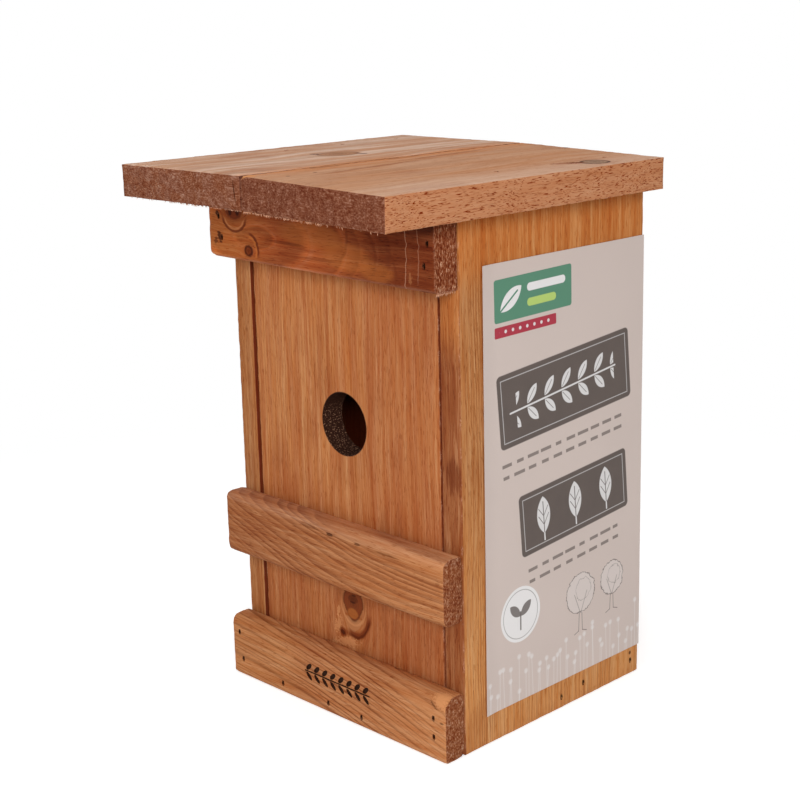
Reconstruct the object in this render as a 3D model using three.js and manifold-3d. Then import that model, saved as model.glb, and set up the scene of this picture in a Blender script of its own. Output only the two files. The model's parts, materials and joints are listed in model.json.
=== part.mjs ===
// A small wooden bird nest box: nailed boards, a two-board roof and a front panel that lifts out.
// Millimetres, +Z up, the front looks along -Y, origin on the ground under the middle of the roof.

import * as THREE from "three";
import { mergeVertices } from "three/addons/utils/BufferGeometryUtils.js";
import Module from "manifold-3d";

const wasm = await Module();
wasm.setup();

// Overall sizes of the nailed box, without the roof and the battens
const bodyWidth = 141.4;
const bodyDepth = 117.4;
const bodyHeight = 229.4;

// Boards
const sideThickness = 11.5;
const backThickness = 11.5;
const floorThickness = 11.5;

// Gap left between boards that are nailed face to face
const jointGap = 0.15;

// Front panel and its running clearances
const doorThickness = 11.4;
const doorFaceSetback = 0.3;
const doorGapLeftTop = 1.6;
const doorGapLeftBottom = 1;
const doorGapRight = 0.5;
const doorGapFloor = 0.3;
const doorGapRoof = 18.8;
const doorEdgeChamfer = 0.6;

// Entrance
const entranceDiameter = 28;
const entranceHeight = 132.5;

// Roof: two boards that meet over the middle. The walls under them rise a little towards the seam.
const roofThickness = 14.1;
const roofLeftReach = 80.2;
const roofRightReach = 83.2;
const roofFrontOverhang = 50.2;
const roofRearSetback = 2.2;
const roofRidgeRise = 1;
const roofSeamGap = 0.2;

// Battens across the front
const topBattenHeight = 28.8;
const topBattenThickness = 13;
const topBattenEdgeRadius = 2;
const sawnEdgeRadius = 0.3;
const topBattenWaneWidth = 3.4;
const topBattenWaneHeight = 2.2;
const battenRoofGap = 0.4;
const battenHeight = 29.3;
const battenThickness = 11.2;
const bottomBattenUpperRadius = 4.8;
const bottomBattenLowerRadius = 1.6;
const bottomBattenHeelRadius = 4;
const middleBattenFrontRadius = 3.6;
const battenRearRadius = 2.5;
const middleBattenHeightAboveGround = 60.7;
const battenSlipGap = 0.2;

// Holes in the floor that drain it
const drainDiameter = 8;
const drainInsetX = 28;
const drainInsetY = 28;

// Paper sheet glued to the right side
const labelThickness = 0.3;
const labelGlueGap = 0.1;
const labelFrontInset = 12.9;
const labelBottomInset = 13.6;
const labelTopInset = 21.3;

// Strip brads: flat wire with a T head and a chisel point, shot in below the surface
const bradWireThickness = 1.1;
const bradShankWidth = 1.3;
const bradHeadWidth = 2.2;
const bradHeadHeight = 0.9;
const bradPointLength = 1.8;
const bradSink = 0.8;
const bradHoleClearance = 0.12;
const longBrad = 30;
const shortBrad = 17;

// Where the brads sit, as shares of the piece that they go through or into. At the ends of a batten,
// the left pair and the right pair each have a share of the side's thickness and one of the height.
const topBradShares = [[[0.78, 0.32], [0.63, 0.64]], [[0.51, 0.37], [0.34, 0.68]]];
const bottomBradShares = [[[0.62, 0.29], [0.44, 0.73]], [[0.63, 0.36], [0.64, 0.65]]];
const floorBradWidthShares = [-0.59, -0.06, 0.31];
const floorBradHeightShare = 0.42;
const sideFloorBradDepthShares = [0.53, 0.66];
const sideFloorBradHeightShares = [0.47, 0.63];
const backBradHeightShares = [0.03, 0.44, 0.85];
const doorBradWidthShares = [-0.77, 0, 0.77];
const roofBradDepthShares = [0.24, 0.53, 0.82];
const roofBackBradWidthShare = 0.51;

// Steel keyhole hanger on the back, over a pocket in the board
const hangerWidth = 18;
const hangerHeight = 52;
const hangerThickness = 1.5;
const hangerCornerRadius = 5;
const hangerFitGap = 0.1;
const hangerDrop = 11.1;
const keyholeHeadDiameter = 10;
const keyholeSlotWidth = 5;
const keyholeSlotRise = 11;
const keyholeBelowMiddle = 2;
const pocketMargin = 1.6;
const pocketDepth = 5;
const screwSpacing = 38;
const screwHeadDiameter = 6;
const screwHeadHeight = 1.2;
const screwShankDiameter = 3;
const screwLength = 10;
const screwPointLength = 2.2;
const screwSink = 0.15;
const screwHoleClearance = 0.15;

// How far every cutter runs past the face that it cuts
const overrun = 1;

// Corners closer than this are one corner
const mergeDistance = 1e-4;

// Number of flats on round features
const entranceFlats = 56;
const drainFlats = 20;
const screwFlats = 20;
const cornerSteps = 6;
const keyholeSteps = 10;

// Places worked out from the sizes above
const halfWidth = bodyWidth / 2;
const innerHalfWidth = halfWidth - sideThickness;
const backFrontFace = bodyDepth - backThickness;
const topBattenTop = bodyHeight - battenRoofGap;
const topBattenBottom = topBattenTop - topBattenHeight;
const doorBottom = floorThickness + doorGapFloor;
const doorTop = bodyHeight - doorGapRoof;
const doorRear = doorFaceSetback + doorThickness;
const roofSlope = roofRidgeRise / halfWidth;
const roofAngle = Math.atan(roofSlope);
const roofDepth = roofFrontOverhang + bodyDepth - roofRearSetback;
const hangerRear = bodyDepth + hangerFitGap + hangerThickness;
const hangerMiddle = bodyHeight - hangerDrop - hangerHeight / 2;
const overallMiddleX = (roofRightReach - roofLeftReach) / 2;
const overallMiddleY = (hangerRear - roofFrontOverhang) / 2;

const wood = (color) => new THREE.MeshStandardMaterial({ color, roughness: 0.75, metalness: 0 });
const panelWood = wood(0xb0713f);
const sideWood = wood(0xb8783f);
const battenWood = wood(0xa9673d);
const shadeWood = wood(0x8d4a2e);
const roofWood = wood(0xc08d68);
const paper = new THREE.MeshStandardMaterial({ color: 0xc4b3a5, roughness: 0.6, metalness: 0 });
const steel = new THREE.MeshStandardMaterial({ color: 0x8b8a87, roughness: 0.45, metalness: 0.9 });

// Closed solids in and out of the boolean library
function toSolid(geometry) {
  const bare = geometry.clone();
  bare.deleteAttribute("normal");
  bare.deleteAttribute("uv");
  const merged = mergeVertices(bare, mergeDistance);
  return new wasm.Manifold(new wasm.Mesh({
    numProp: 3,
    vertProperties: new Float32Array(merged.attributes.position.array),
    triVerts: new Uint32Array(merged.index.array),
  }));
}

function toGeometry(solid) {
  const mesh = solid.getMesh();
  const geometry = new THREE.BufferGeometry();
  geometry.setAttribute("position", new THREE.BufferAttribute(new Float32Array(mesh.vertProperties), 3));
  geometry.setIndex(new THREE.BufferAttribute(new Uint32Array(mesh.triVerts), 1));
  const faceted = geometry.toNonIndexed();
  faceted.computeVertexNormals();
  return faceted;
}

function cut(geometry, cutters) {
  const solid = cutters.reduce((rest, cutter) => rest.subtract(toSolid(cutter)), toSolid(geometry));
  return toGeometry(solid);
}

// A board with square edges, centred on its own middle
const board = (width, depth, height) => new THREE.BoxGeometry(width, depth, height);

// A prism along X whose section, drawn in Y and Z, has its own radius on each long edge
function roundedBatten(length, thickness, height, radii) {
  const section = new THREE.Shape();
  const back = thickness / 2;
  const top = height / 2;
  const [frontLow, rearLow, rearHigh, frontHigh] = radii;
  section.moveTo(-back + frontLow, -top);
  section.lineTo(back - rearLow, -top);
  section.absarc(back - rearLow, -top + rearLow, rearLow, -Math.PI / 2, 0);
  section.absarc(back - rearHigh, top - rearHigh, rearHigh, 0, Math.PI / 2);
  section.absarc(-back + frontHigh, top - frontHigh, frontHigh, Math.PI / 2, Math.PI);
  section.absarc(-back + frontLow, -top + frontLow, frontLow, Math.PI, 1.5 * Math.PI);
  const run = { depth: length, bevelEnabled: false, curveSegments: cornerSteps };
  const batten = new THREE.ExtrudeGeometry(section, run).translate(0, 0, -length / 2);
  // Section X becomes Y, section Y becomes Z, and the run becomes X
  const alongX = new THREE.Matrix4().makeBasis(
    new THREE.Vector3(0, 1, 0), new THREE.Vector3(0, 0, 1), new THREE.Vector3(1, 0, 0),
  );
  return batten.applyMatrix4(alongX);
}

// A flat outline drawn in X and Z and given a thickness along Y, from y = 0 to the rear
function plateAlongY(outline, thickness, steps) {
  const run = { depth: thickness, bevelEnabled: false, curveSegments: steps };
  return new THREE.ExtrudeGeometry(outline, run).rotateX(Math.PI / 2).translate(0, thickness, 0);
}

const box = new THREE.Group();
const door = new THREE.Group();

function place(parent, name, geometry, material, x, y, z) {
  const mesh = new THREE.Mesh(geometry, material);
  mesh.name = name;
  mesh.position.set(x, y, z);
  parent.add(mesh);
  return mesh;
}

// How high a wall reaches under the roof, at a distance from the middle
const wallTop = (x) => bodyHeight + roofSlope * (halfWidth - Math.abs(x));

// An upright board whose top edge follows the roof, drawn from the front
function wall(corners, thickness) {
  const outline = new THREE.Shape(corners.map(([x, z]) => new THREE.Vector2(x, z)));
  return plateAlongY(outline, thickness, cornerSteps);
}

// Sides, back and floor
const sideX = halfWidth - sideThickness / 2;
const sides = [-1, 1].map((hand) => place(
  box, hand < 0 ? "side_left" : "side_right",
  wall([
    [hand * innerHalfWidth, 0],
    [hand * halfWidth, 0],
    [hand * halfWidth, wallTop(halfWidth)],
    [hand * innerHalfWidth, wallTop(innerHalfWidth)],
  ], bodyDepth),
  sideWood, 0, 0, 0,
));

const innerBoardWidth = 2 * (innerHalfWidth - jointGap);
const backEdge = innerBoardWidth / 2;
const backPanel = place(
  box, "back_panel",
  wall([
    [-backEdge, 0],
    [backEdge, 0],
    [backEdge, wallTop(backEdge)],
    [0, wallTop(0)],
    [-backEdge, wallTop(backEdge)],
  ], backThickness),
  panelWood, 0, backFrontFace, 0,
);

// The hidden back board has a pocket behind the keyhole, where the head of the wall screw goes
const pocketRadius = keyholeHeadDiameter / 2 + pocketMargin;
const pocketOutline = new THREE.Shape();
pocketOutline.absarc(0, 0, pocketRadius, Math.PI, 2 * Math.PI);
pocketOutline.absarc(0, keyholeSlotRise, pocketRadius, 0, Math.PI);
const pocketCutter = plateAlongY(pocketOutline, pocketDepth + overrun, keyholeSteps);
pocketCutter.translate(0, backThickness - pocketDepth, hangerMiddle - keyholeBelowMiddle);
backPanel.geometry = cut(backPanel.geometry, [pocketCutter]);

const floorDepth = backFrontFace - 2 * jointGap;
const floorBoard = place(
  box, "floor_board", board(innerBoardWidth, floorDepth, floorThickness), panelWood,
  0, jointGap + floorDepth / 2, floorThickness / 2,
);
const drainX = innerHalfWidth - drainInsetX;
const drainY = floorDepth / 2 - drainInsetY;
const drains = [-1, 1].flatMap((handX) => [-1, 1].map((handY) => {
  const radius = drainDiameter / 2;
  const drain = new THREE.CylinderGeometry(radius, radius, floorThickness + 2 * overrun, drainFlats);
  return drain.rotateX(Math.PI / 2).translate(handX * drainX, handY * drainY, 0);
}));
floorBoard.geometry = cut(floorBoard.geometry, drains);

// Front panel: its left edge is cut slightly out of square, and the entrance goes right through
const doorOutline = new THREE.Shape();
const doorLeftBottom = -innerHalfWidth + doorGapLeftBottom;
const doorLeftTop = -innerHalfWidth + doorGapLeftTop;
const doorRight = innerHalfWidth - doorGapRight;
doorOutline.moveTo(doorLeftBottom, doorBottom);
doorOutline.lineTo(doorRight, doorBottom);
doorOutline.lineTo(doorRight, doorTop);
doorOutline.lineTo(doorLeftTop, doorTop);
const entrance = new THREE.Path();
entrance.absarc(0, entranceHeight, entranceDiameter / 2, 0, 2 * Math.PI);
doorOutline.holes.push(entrance);
const doorPanel = place(
  door, "door_panel", plateAlongY(doorOutline, doorThickness, entranceFlats / 2), panelWood,
  0, doorFaceSetback, 0,
);

// The panel's top rear edge is planed off, so that it can tilt behind the top batten
const doorEdgePlane = board(bodyWidth, doorEdgeChamfer * Math.SQRT2, doorEdgeChamfer * Math.SQRT2);
doorEdgePlane.rotateX(Math.PI / 4).translate(0, doorThickness, doorTop);
doorPanel.geometry = cut(doorPanel.geometry, [doorEdgePlane]);

// Battens
const topBatten = place(
  box, "top_batten",
  roundedBatten(bodyWidth, topBattenThickness, topBattenHeight, [
    topBattenEdgeRadius, sawnEdgeRadius, sawnEdgeRadius, sawnEdgeRadius,
  ]),
  shadeWood, 0, -jointGap - topBattenThickness / 2, topBattenBottom + topBattenHeight / 2,
);

// The lower left corner of the top batten is missing, as on a board cut near the bark
const waneOutline = new THREE.Shape();
waneOutline.moveTo(-halfWidth - overrun, -topBattenHeight / 2 - overrun);
waneOutline.lineTo(-halfWidth + topBattenWaneWidth + overrun, -topBattenHeight / 2 - overrun);
waneOutline.lineTo(-halfWidth + topBattenWaneWidth, -topBattenHeight / 2);
waneOutline.lineTo(-halfWidth, -topBattenHeight / 2 + topBattenWaneHeight);
waneOutline.lineTo(-halfWidth - overrun, -topBattenHeight / 2 + topBattenWaneHeight + overrun);
const waneCutter = plateAlongY(waneOutline, topBattenThickness + 2 * overrun, cornerSteps);
waneCutter.translate(0, -topBattenThickness / 2 - overrun, 0);
topBatten.geometry = cut(topBatten.geometry, [waneCutter]);

// Front lower, rear lower and front upper edge radius; the rear upper one is the same on both
const lowBatten = (lowerRadius, heelRadius, upperRadius) => roundedBatten(
  bodyWidth, battenThickness, battenHeight, [lowerRadius, heelRadius, battenRearRadius, upperRadius],
);
const bottomBatten = place(
  box, "bottom_batten",
  lowBatten(bottomBattenLowerRadius, bottomBattenHeelRadius, bottomBattenUpperRadius), battenWood,
  0, -jointGap - battenThickness / 2, battenHeight / 2,
);
const middleBatten = place(
  door, "middle_batten",
  lowBatten(middleBattenFrontRadius, battenRearRadius, middleBattenFrontRadius), battenWood,
  0, -battenSlipGap - battenThickness / 2, middleBattenHeightAboveGround + battenHeight / 2,
);

// Roof boards: each hangs on a pivot at its outer lower edge and leans up to the seam
const roofHalves = [-1, 1].map((hand) => {
  const reach = hand < 0 ? roofLeftReach : roofRightReach;
  const width = (reach - roofSeamGap / 2) / Math.cos(roofAngle);
  const lean = new THREE.Group();
  lean.position.set(hand * reach, -roofFrontOverhang, wallTop(reach) + jointGap);
  lean.rotation.y = hand * roofAngle;
  box.add(lean);
  const half = place(
    lean, hand < 0 ? "roof_board_left" : "roof_board_right",
    board(width, roofDepth, roofThickness), roofWood,
    -hand * width / 2, roofDepth / 2, roofThickness / 2,
  );
  return { hand, lean, half, reach };
});

// Label sheet, flush with the rear edge of the side
const labelDepth = bodyDepth - labelFrontInset;
const labelHeight = bodyHeight - labelTopInset - labelBottomInset;
place(
  box, "side_label", board(labelThickness, labelDepth, labelHeight), paper,
  halfWidth + labelGlueGap + labelThickness / 2,
  labelFrontInset + labelDepth / 2,
  labelBottomInset + labelHeight / 2,
);

// Brads: each is driven into two boards, and every board that it meets is bored for it
const bored = new Map();

// The shape points along -Y; it is turned to point towards, with its width along headAlong
function drive(parent, name, shape, from, towards, headAlong, boards) {
  const fastener = place(parent, name, shape.solid, steel, ...from);
  const up = new THREE.Vector3(...towards).negate();
  const across = new THREE.Vector3(...headAlong);
  const turn = new THREE.Matrix4().makeBasis(across, up, new THREE.Vector3().crossVectors(across, up));
  fastener.quaternion.setFromRotationMatrix(turn);
  for (const piece of boards) {
    bored.set(piece, [...(bored.get(piece) ?? []), { fastener, cutter: shape.cutter }]);
  }
}

// A prism that points along -Y, from [half width, height] corners listed from the point up to the head
function flatShape(corners, thickness) {
  const right = corners.map(([halfAcross, height]) => new THREE.Vector2(halfAcross, height));
  const left = corners.map(([halfAcross, height]) => new THREE.Vector2(-halfAcross, height)).reverse();
  const outline = new THREE.Shape([...right, ...left]);
  const prism = new THREE.ExtrudeGeometry(outline, { depth: thickness, bevelEnabled: false });
  return prism.translate(0, 0, -thickness / 2);
}

function brad(length) {
  const shank = bradShankWidth / 2;
  const head = bradHeadWidth / 2;
  const gap = bradHoleClearance;
  const chisel = bradWireThickness / 4;
  const tip = -length - bradSink;
  const neck = -bradSink - bradHeadHeight;
  return {
    solid: flatShape([
      [chisel, tip],
      [shank, tip + bradPointLength],
      [shank, neck],
      [head, neck],
      [head, -bradSink],
    ], bradWireThickness),
    cutter: flatShape([
      [shank + gap, tip - gap],
      [shank + gap, neck - gap],
      [head + gap, neck - gap],
      [head + gap, overrun],
    ], bradWireThickness + 2 * gap),
  };
}

const steelLong = brad(longBrad);
const steelShort = brad(shortBrad);
const upright = [0, 0, 1];
const frontToBack = [0, 1, 0];
const topBattenFace = -jointGap - topBattenThickness;
const lowBattenFace = -jointGap - battenThickness;
const handName = (hand) => (hand < 0 ? "left" : "right");

for (const [index, hand] of [-1, 1].entries()) {
  const side = sides[index];
  const name = handName(hand);
  const inwards = [-hand, 0, 0];
  const bradX = (inwardShare) => hand * (halfWidth - inwardShare * sideThickness);
  topBradShares[index].forEach(([inwardShare, heightShare], step) => drive(
    box, `brad_top_batten_${name}_${step + 1}`, steelLong,
    [bradX(inwardShare), topBattenFace, topBattenBottom + heightShare * topBattenHeight],
    frontToBack, upright, [topBatten, side],
  ));
  bottomBradShares[index].forEach(([inwardShare, heightShare], step) => drive(
    box, `brad_bottom_batten_${name}_${step + 1}`, steelLong,
    [bradX(inwardShare), lowBattenFace, heightShare * battenHeight],
    frontToBack, upright, [bottomBatten, side],
  ));
  sideFloorBradDepthShares.forEach((share, step) => drive(
    box, `brad_side_${name}_floor_${step + 1}`, steelLong,
    [hand * halfWidth, share * bodyDepth, sideFloorBradHeightShares[step] * floorThickness],
    inwards, upright, [side, floorBoard],
  ));
  backBradHeightShares.forEach((share, step) => drive(
    box, `brad_side_${name}_back_${step + 1}`, steelLong,
    [hand * halfWidth, bodyDepth - backThickness / 2, share * bodyHeight],
    inwards, upright, [side, backPanel],
  ));
}

floorBradWidthShares.forEach((share, step) => drive(
  box, `brad_bottom_batten_floor_${step + 1}`, steelLong,
  [share * innerHalfWidth, lowBattenFace, floorBradHeightShare * floorThickness],
  frontToBack, upright, [bottomBatten, floorBoard],
));

// The middle batten is nailed on from inside the panel, so nothing shows on its face
doorBradWidthShares.forEach((share, step) => drive(
  door, `brad_middle_batten_${step + 1}`, steelShort,
  [share * innerHalfWidth, doorRear, middleBattenHeightAboveGround + battenHeight / 2],
  [0, -1, 0], upright, [doorPanel, middleBatten],
));

// Roof brads lean with their board, into the side under it and into the back
for (const { hand, lean, half, reach } of roofHalves) {
  const side = hand < 0 ? sides[0] : sides[1];
  const name = handName(hand);
  roofBradDepthShares.forEach((share, step) => drive(
    lean, `brad_roof_${name}_${step + 1}`, steelLong,
    [hand * (sideX - reach), roofFrontOverhang + share * bodyDepth, roofThickness],
    [0, 0, -1], frontToBack, [half, side],
  ));
  const overBack = roofFrontOverhang + bodyDepth - backThickness / 2;
  drive(
    lean, `brad_roof_${name}_back`, steelLong,
    [hand * (roofBackBradWidthShare * innerHalfWidth - reach), overBack, roofThickness],
    [0, 0, -1], frontToBack, [half, backPanel],
  );
}

// Keyhole hanger and its two countersunk screws
const hangerOutline = new THREE.Shape();
const hangerSide = hangerWidth / 2 - hangerCornerRadius;
const hangerEnd = hangerHeight / 2 - hangerCornerRadius;
hangerOutline.absarc(hangerSide, -hangerEnd, hangerCornerRadius, -Math.PI / 2, 0);
hangerOutline.absarc(hangerSide, hangerEnd, hangerCornerRadius, 0, Math.PI / 2);
hangerOutline.absarc(-hangerSide, hangerEnd, hangerCornerRadius, Math.PI / 2, Math.PI);
hangerOutline.absarc(-hangerSide, -hangerEnd, hangerCornerRadius, Math.PI, 1.5 * Math.PI);
const keyhole = new THREE.Path();
const headRadius = keyholeHeadDiameter / 2;
const slotRadius = keyholeSlotWidth / 2;
const slotAngle = Math.asin(slotRadius / headRadius);
const keyholeZ = -keyholeBelowMiddle;
keyhole.absarc(0, keyholeZ + keyholeSlotRise, slotRadius, 0, Math.PI);
keyhole.absarc(0, keyholeZ, headRadius, Math.PI / 2 + slotAngle, 2.5 * Math.PI - slotAngle);
hangerOutline.holes.push(keyhole);
const hangerPlate = place(
  box, "keyhole_hanger", plateAlongY(hangerOutline, hangerThickness, keyholeSteps), steel,
  0, bodyDepth + hangerFitGap, hangerMiddle,
);

// A turned shape that points along -Y, from [radius, height] pairs listed from the point up to the head
function turned(profile) {
  const outline = profile.map(([radius, height]) => new THREE.Vector2(radius, height));
  return new THREE.LatheGeometry(outline, screwFlats);
}

function countersunkScrew() {
  const shank = screwShankDiameter / 2;
  const head = screwHeadDiameter / 2;
  const gap = screwHoleClearance;
  const headBottom = -screwSink - screwHeadHeight;
  return {
    solid: turned([
      [0, -screwSink - screwLength],
      [shank, screwPointLength - screwSink - screwLength],
      [shank, headBottom],
      [head, -screwSink],
      [0, -screwSink],
    ]),
    cutter: turned([
      [0, -screwSink - screwLength - gap],
      [shank + gap, -screwSink - screwLength - gap],
      [shank + gap, headBottom - gap],
      [head + gap, -screwSink - gap],
      [head + gap, overrun],
      [0, overrun],
    ]),
  };
}

const hangerScrew = countersunkScrew();
[-1, 1].forEach((end, step) => drive(
  box, `hanger_screw_${step + 1}`, hangerScrew,
  [0, hangerRear, hangerMiddle + end * screwSpacing / 2], [0, -1, 0], upright,
  [hangerPlate, backPanel],
));

// The whole box stands over the origin, centred on its own outline
const nestBox = new THREE.Group();
nestBox.position.set(-overallMiddleX, -overallMiddleY, 0);
nestBox.add(box, door);
nestBox.updateMatrixWorld(true);

for (const [piece, fasteners] of bored) {
  const intoPiece = piece.matrixWorld.clone().invert();
  const cutters = fasteners.map(({ fastener, cutter }) => (
    cutter.clone().applyMatrix4(fastener.matrixWorld).applyMatrix4(intoPiece)
  ));
  piece.geometry = cut(piece.geometry, cutters);
}

export default nestBox;
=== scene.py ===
"""A small wooden bird nest box: planed boards, a rough-sawn roof and a front panel that lifts out."""

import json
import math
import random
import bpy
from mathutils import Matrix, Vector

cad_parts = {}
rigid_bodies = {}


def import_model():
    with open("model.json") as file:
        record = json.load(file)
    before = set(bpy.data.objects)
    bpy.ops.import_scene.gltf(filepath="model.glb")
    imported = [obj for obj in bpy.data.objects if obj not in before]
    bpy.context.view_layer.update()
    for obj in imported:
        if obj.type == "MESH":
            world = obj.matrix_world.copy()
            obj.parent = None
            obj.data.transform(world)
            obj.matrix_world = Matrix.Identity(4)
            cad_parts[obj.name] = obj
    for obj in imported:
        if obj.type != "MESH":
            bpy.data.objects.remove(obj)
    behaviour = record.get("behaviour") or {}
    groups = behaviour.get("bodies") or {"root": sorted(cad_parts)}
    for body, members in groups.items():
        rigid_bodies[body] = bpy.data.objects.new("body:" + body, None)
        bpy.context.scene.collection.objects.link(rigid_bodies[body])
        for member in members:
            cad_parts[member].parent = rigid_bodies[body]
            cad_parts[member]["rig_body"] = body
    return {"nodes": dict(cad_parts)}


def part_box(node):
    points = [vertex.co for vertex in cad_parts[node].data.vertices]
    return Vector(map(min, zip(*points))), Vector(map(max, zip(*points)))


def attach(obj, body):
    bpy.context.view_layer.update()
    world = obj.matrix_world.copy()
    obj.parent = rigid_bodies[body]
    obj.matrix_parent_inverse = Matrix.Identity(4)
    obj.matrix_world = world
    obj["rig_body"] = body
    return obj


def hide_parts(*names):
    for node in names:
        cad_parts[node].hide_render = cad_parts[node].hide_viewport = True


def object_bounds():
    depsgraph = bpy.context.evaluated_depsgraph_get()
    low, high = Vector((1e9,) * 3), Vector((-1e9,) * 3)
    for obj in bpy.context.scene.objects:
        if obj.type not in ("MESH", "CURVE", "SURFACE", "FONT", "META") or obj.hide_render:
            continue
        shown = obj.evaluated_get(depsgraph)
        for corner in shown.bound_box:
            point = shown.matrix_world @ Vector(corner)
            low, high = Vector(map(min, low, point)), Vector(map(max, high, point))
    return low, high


bl_info = {
    "name": "Bird Nest Box",
    "version": (1, 0, 0),
    "blender": (4, 5, 0),
    "location": "3D View > Sidebar > Nest Box",
    "description": "Models and finishes the boards, battens, roof, label and hanger of a bird nest box",
    "category": "Object",
}

from contextlib import contextmanager
from dataclasses import dataclass

import bmesh
import bpy
from mathutils import Euler, Matrix, Vector

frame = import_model()
cad_low, cad_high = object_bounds()

MM = 0.001
AXES = "XYZ"
MOST_CUTS = 100
EDGE_GROUP = "edges"
ROUNDING_SEGMENTS = 6
ARRIS_SEGMENTS = 2
SHARP_ANGLE = math.radians(40)
SMOOTH_ANGLE = math.radians(35)
LONG_EDGE = 20 * MM
TOUCHING = 0.01 * MM

# The photograph's viewpoint, in millimetres and degrees
CAMERA_PLACE = (505.0, -478.9, 320.2)
CAMERA_AIM = (-0.6629, 0.7087, -0.2416)
CAMERA_ROLL = -0.507
CAMERA_LENS = 72.56
CAMERA_SHIFT = (-0.1208, -0.0295)

ENTRANCE_DIAMETER = 28 * MM
ENTRANCE_HEIGHT = 132.5 * MM
ENTRANCE_SIDES = 96
DOOR_TAPER = 0.6 * MM
DRAIN_DIAMETER = 8 * MM
DRAIN_INSET = 28 * MM
JOINT_GAP = 0.15 * MM
WANE = (3.4 * MM, 2.2 * MM)
BRAD_WIRE = 1.1 * MM
BRAD_PIT = 1.7 * MM
PIT_GAP = 0.12 * MM
PIT_RIM = 0.3 * MM
BATTEN_CHIP = (8 * MM, 1.7 * MM, 1.1 * MM)
ROOF_CHIP = (5 * MM, 2 * MM, 2.4 * MM)

# Sizes of the fields that a board is cut into, and of the noise that wears it
WALL_CELL = 2.4 * MM
DOOR_CELL = 2.2 * MM
BATTEN_CELL = 1.6 * MM
ROOF_CELL = 2 * MM
EDGE_GRAIN = 3 * MM
FACE_GRAIN = 9 * MM
PAPER_GRAIN = 26 * MM

KEYHOLE_DIAMETER = 10 * MM
KEYHOLE_SLOT = 5 * MM
KEYHOLE_RISE = 11 * MM
KEYHOLE_BELOW = 2 * MM
POCKET_MARGIN = 1.6 * MM
POCKET_DEPTH = 5 * MM
SCREW_HEAD_HEIGHT = 1.2 * MM
SCREW_SIDES = 40
SHANK_SIDES = 24

ORNAMENT_LEFT = -19 * MM
ORNAMENT_RIGHT = 24 * MM
ORNAMENT_HEIGHT = 16.3 * MM
STEM_WIDTH = 0.8 * MM
LEAF_PAIRS = 8
LEAF_SIDES = 12
LEAF_LENGTH = 4.9 * MM
LEAF_SLIMNESS = 0.46
LEAF_GAP = 0.6 * MM
LEAF_TURN = math.radians(42)

TOP_SPLINTER_INSET = (0.3 * MM, 1.5 * MM, 0.2 * MM)
SPLINTER_MARGIN = 1 * MM
ROOF_SPLINTER_INSET = 0.95 * MM
ROOF_SPLINTER_RISE = 0.15 * MM
TOP_SPLINTERS = 36
# How many fibres hang from a roof board's front end, and over which share of its width
ROOF_SPLINTERS = ((150, 0.6), (30, 0.95))

# Length and width in millimetres of the noise drawn out along the grain, and its detail where it is fine
FIBRE_STREAKS = (14.0, 0.42, 2.0)
BAND_STREAKS = (70.0, 2.6)
PORE_STREAKS = (4.5, 0.4)
DASH_STREAKS = (3.6, 0.42)
SPECKLE_STREAKS = (0.9, 0.55, 2.0)
TINT_STREAKS = (60.0, 5.0)

# Length and width in millimetres of soft noise: the stains, and what leads the grain off a straight line
STAIN_CLOUD = (34, 20)
SLOW_CLOUD = (95, 34)
QUICK_CLOUD = (24, 8)

GRIT_LENGTH = 0.9
PATCH_LENGTH = 7
PORE_SHARE = 0.3
END_MOTTLE = 0.6
INNER_SHADE = 0.9

FLOOR_RADIUS = 3
FLOOR_FADE = (0.2, 0.5)
FLOOR_SIDES = 96


def middle_of(node):
    """The middle of a CAD node's box."""
    return sum(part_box(node), Vector()) / 2


def body_middle():
    """The middle of the space between the two sides."""
    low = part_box("side_left")[0]
    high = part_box("side_right")[1]
    return (low + high) / 2


def entrance_middle():
    """Where the entrance goes through the front panel."""
    return Vector((body_middle().x, middle_of("door_panel").y, ENTRANCE_HEIGHT))


def linear(channel):
    """One sRGB channel, from 0 to 1, as scene-linear light."""
    if channel <= 0.04045:
        return channel / 12.92
    return ((channel + 0.055) / 1.055) ** 2.4


def paint(red, green, blue):
    """An sRGB colour, each part from 0 to 255, as Blender stores it."""
    return tuple(linear(part / 255) for part in (red, green, blue))


def colour_property(name, description, default):
    return bpy.props.FloatVectorProperty(
        name=name, description=description, default=default, subtype="COLOR", size=3, min=0, max=1
    )


def length_property(name, description, default):
    return bpy.props.FloatProperty(
        name=name, description=description, default=default, min=0, unit="LENGTH", precision=5
    )


def power_property(name, description, default):
    return bpy.props.FloatProperty(name=name, description=description, default=default, min=0, unit="POWER")


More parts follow.
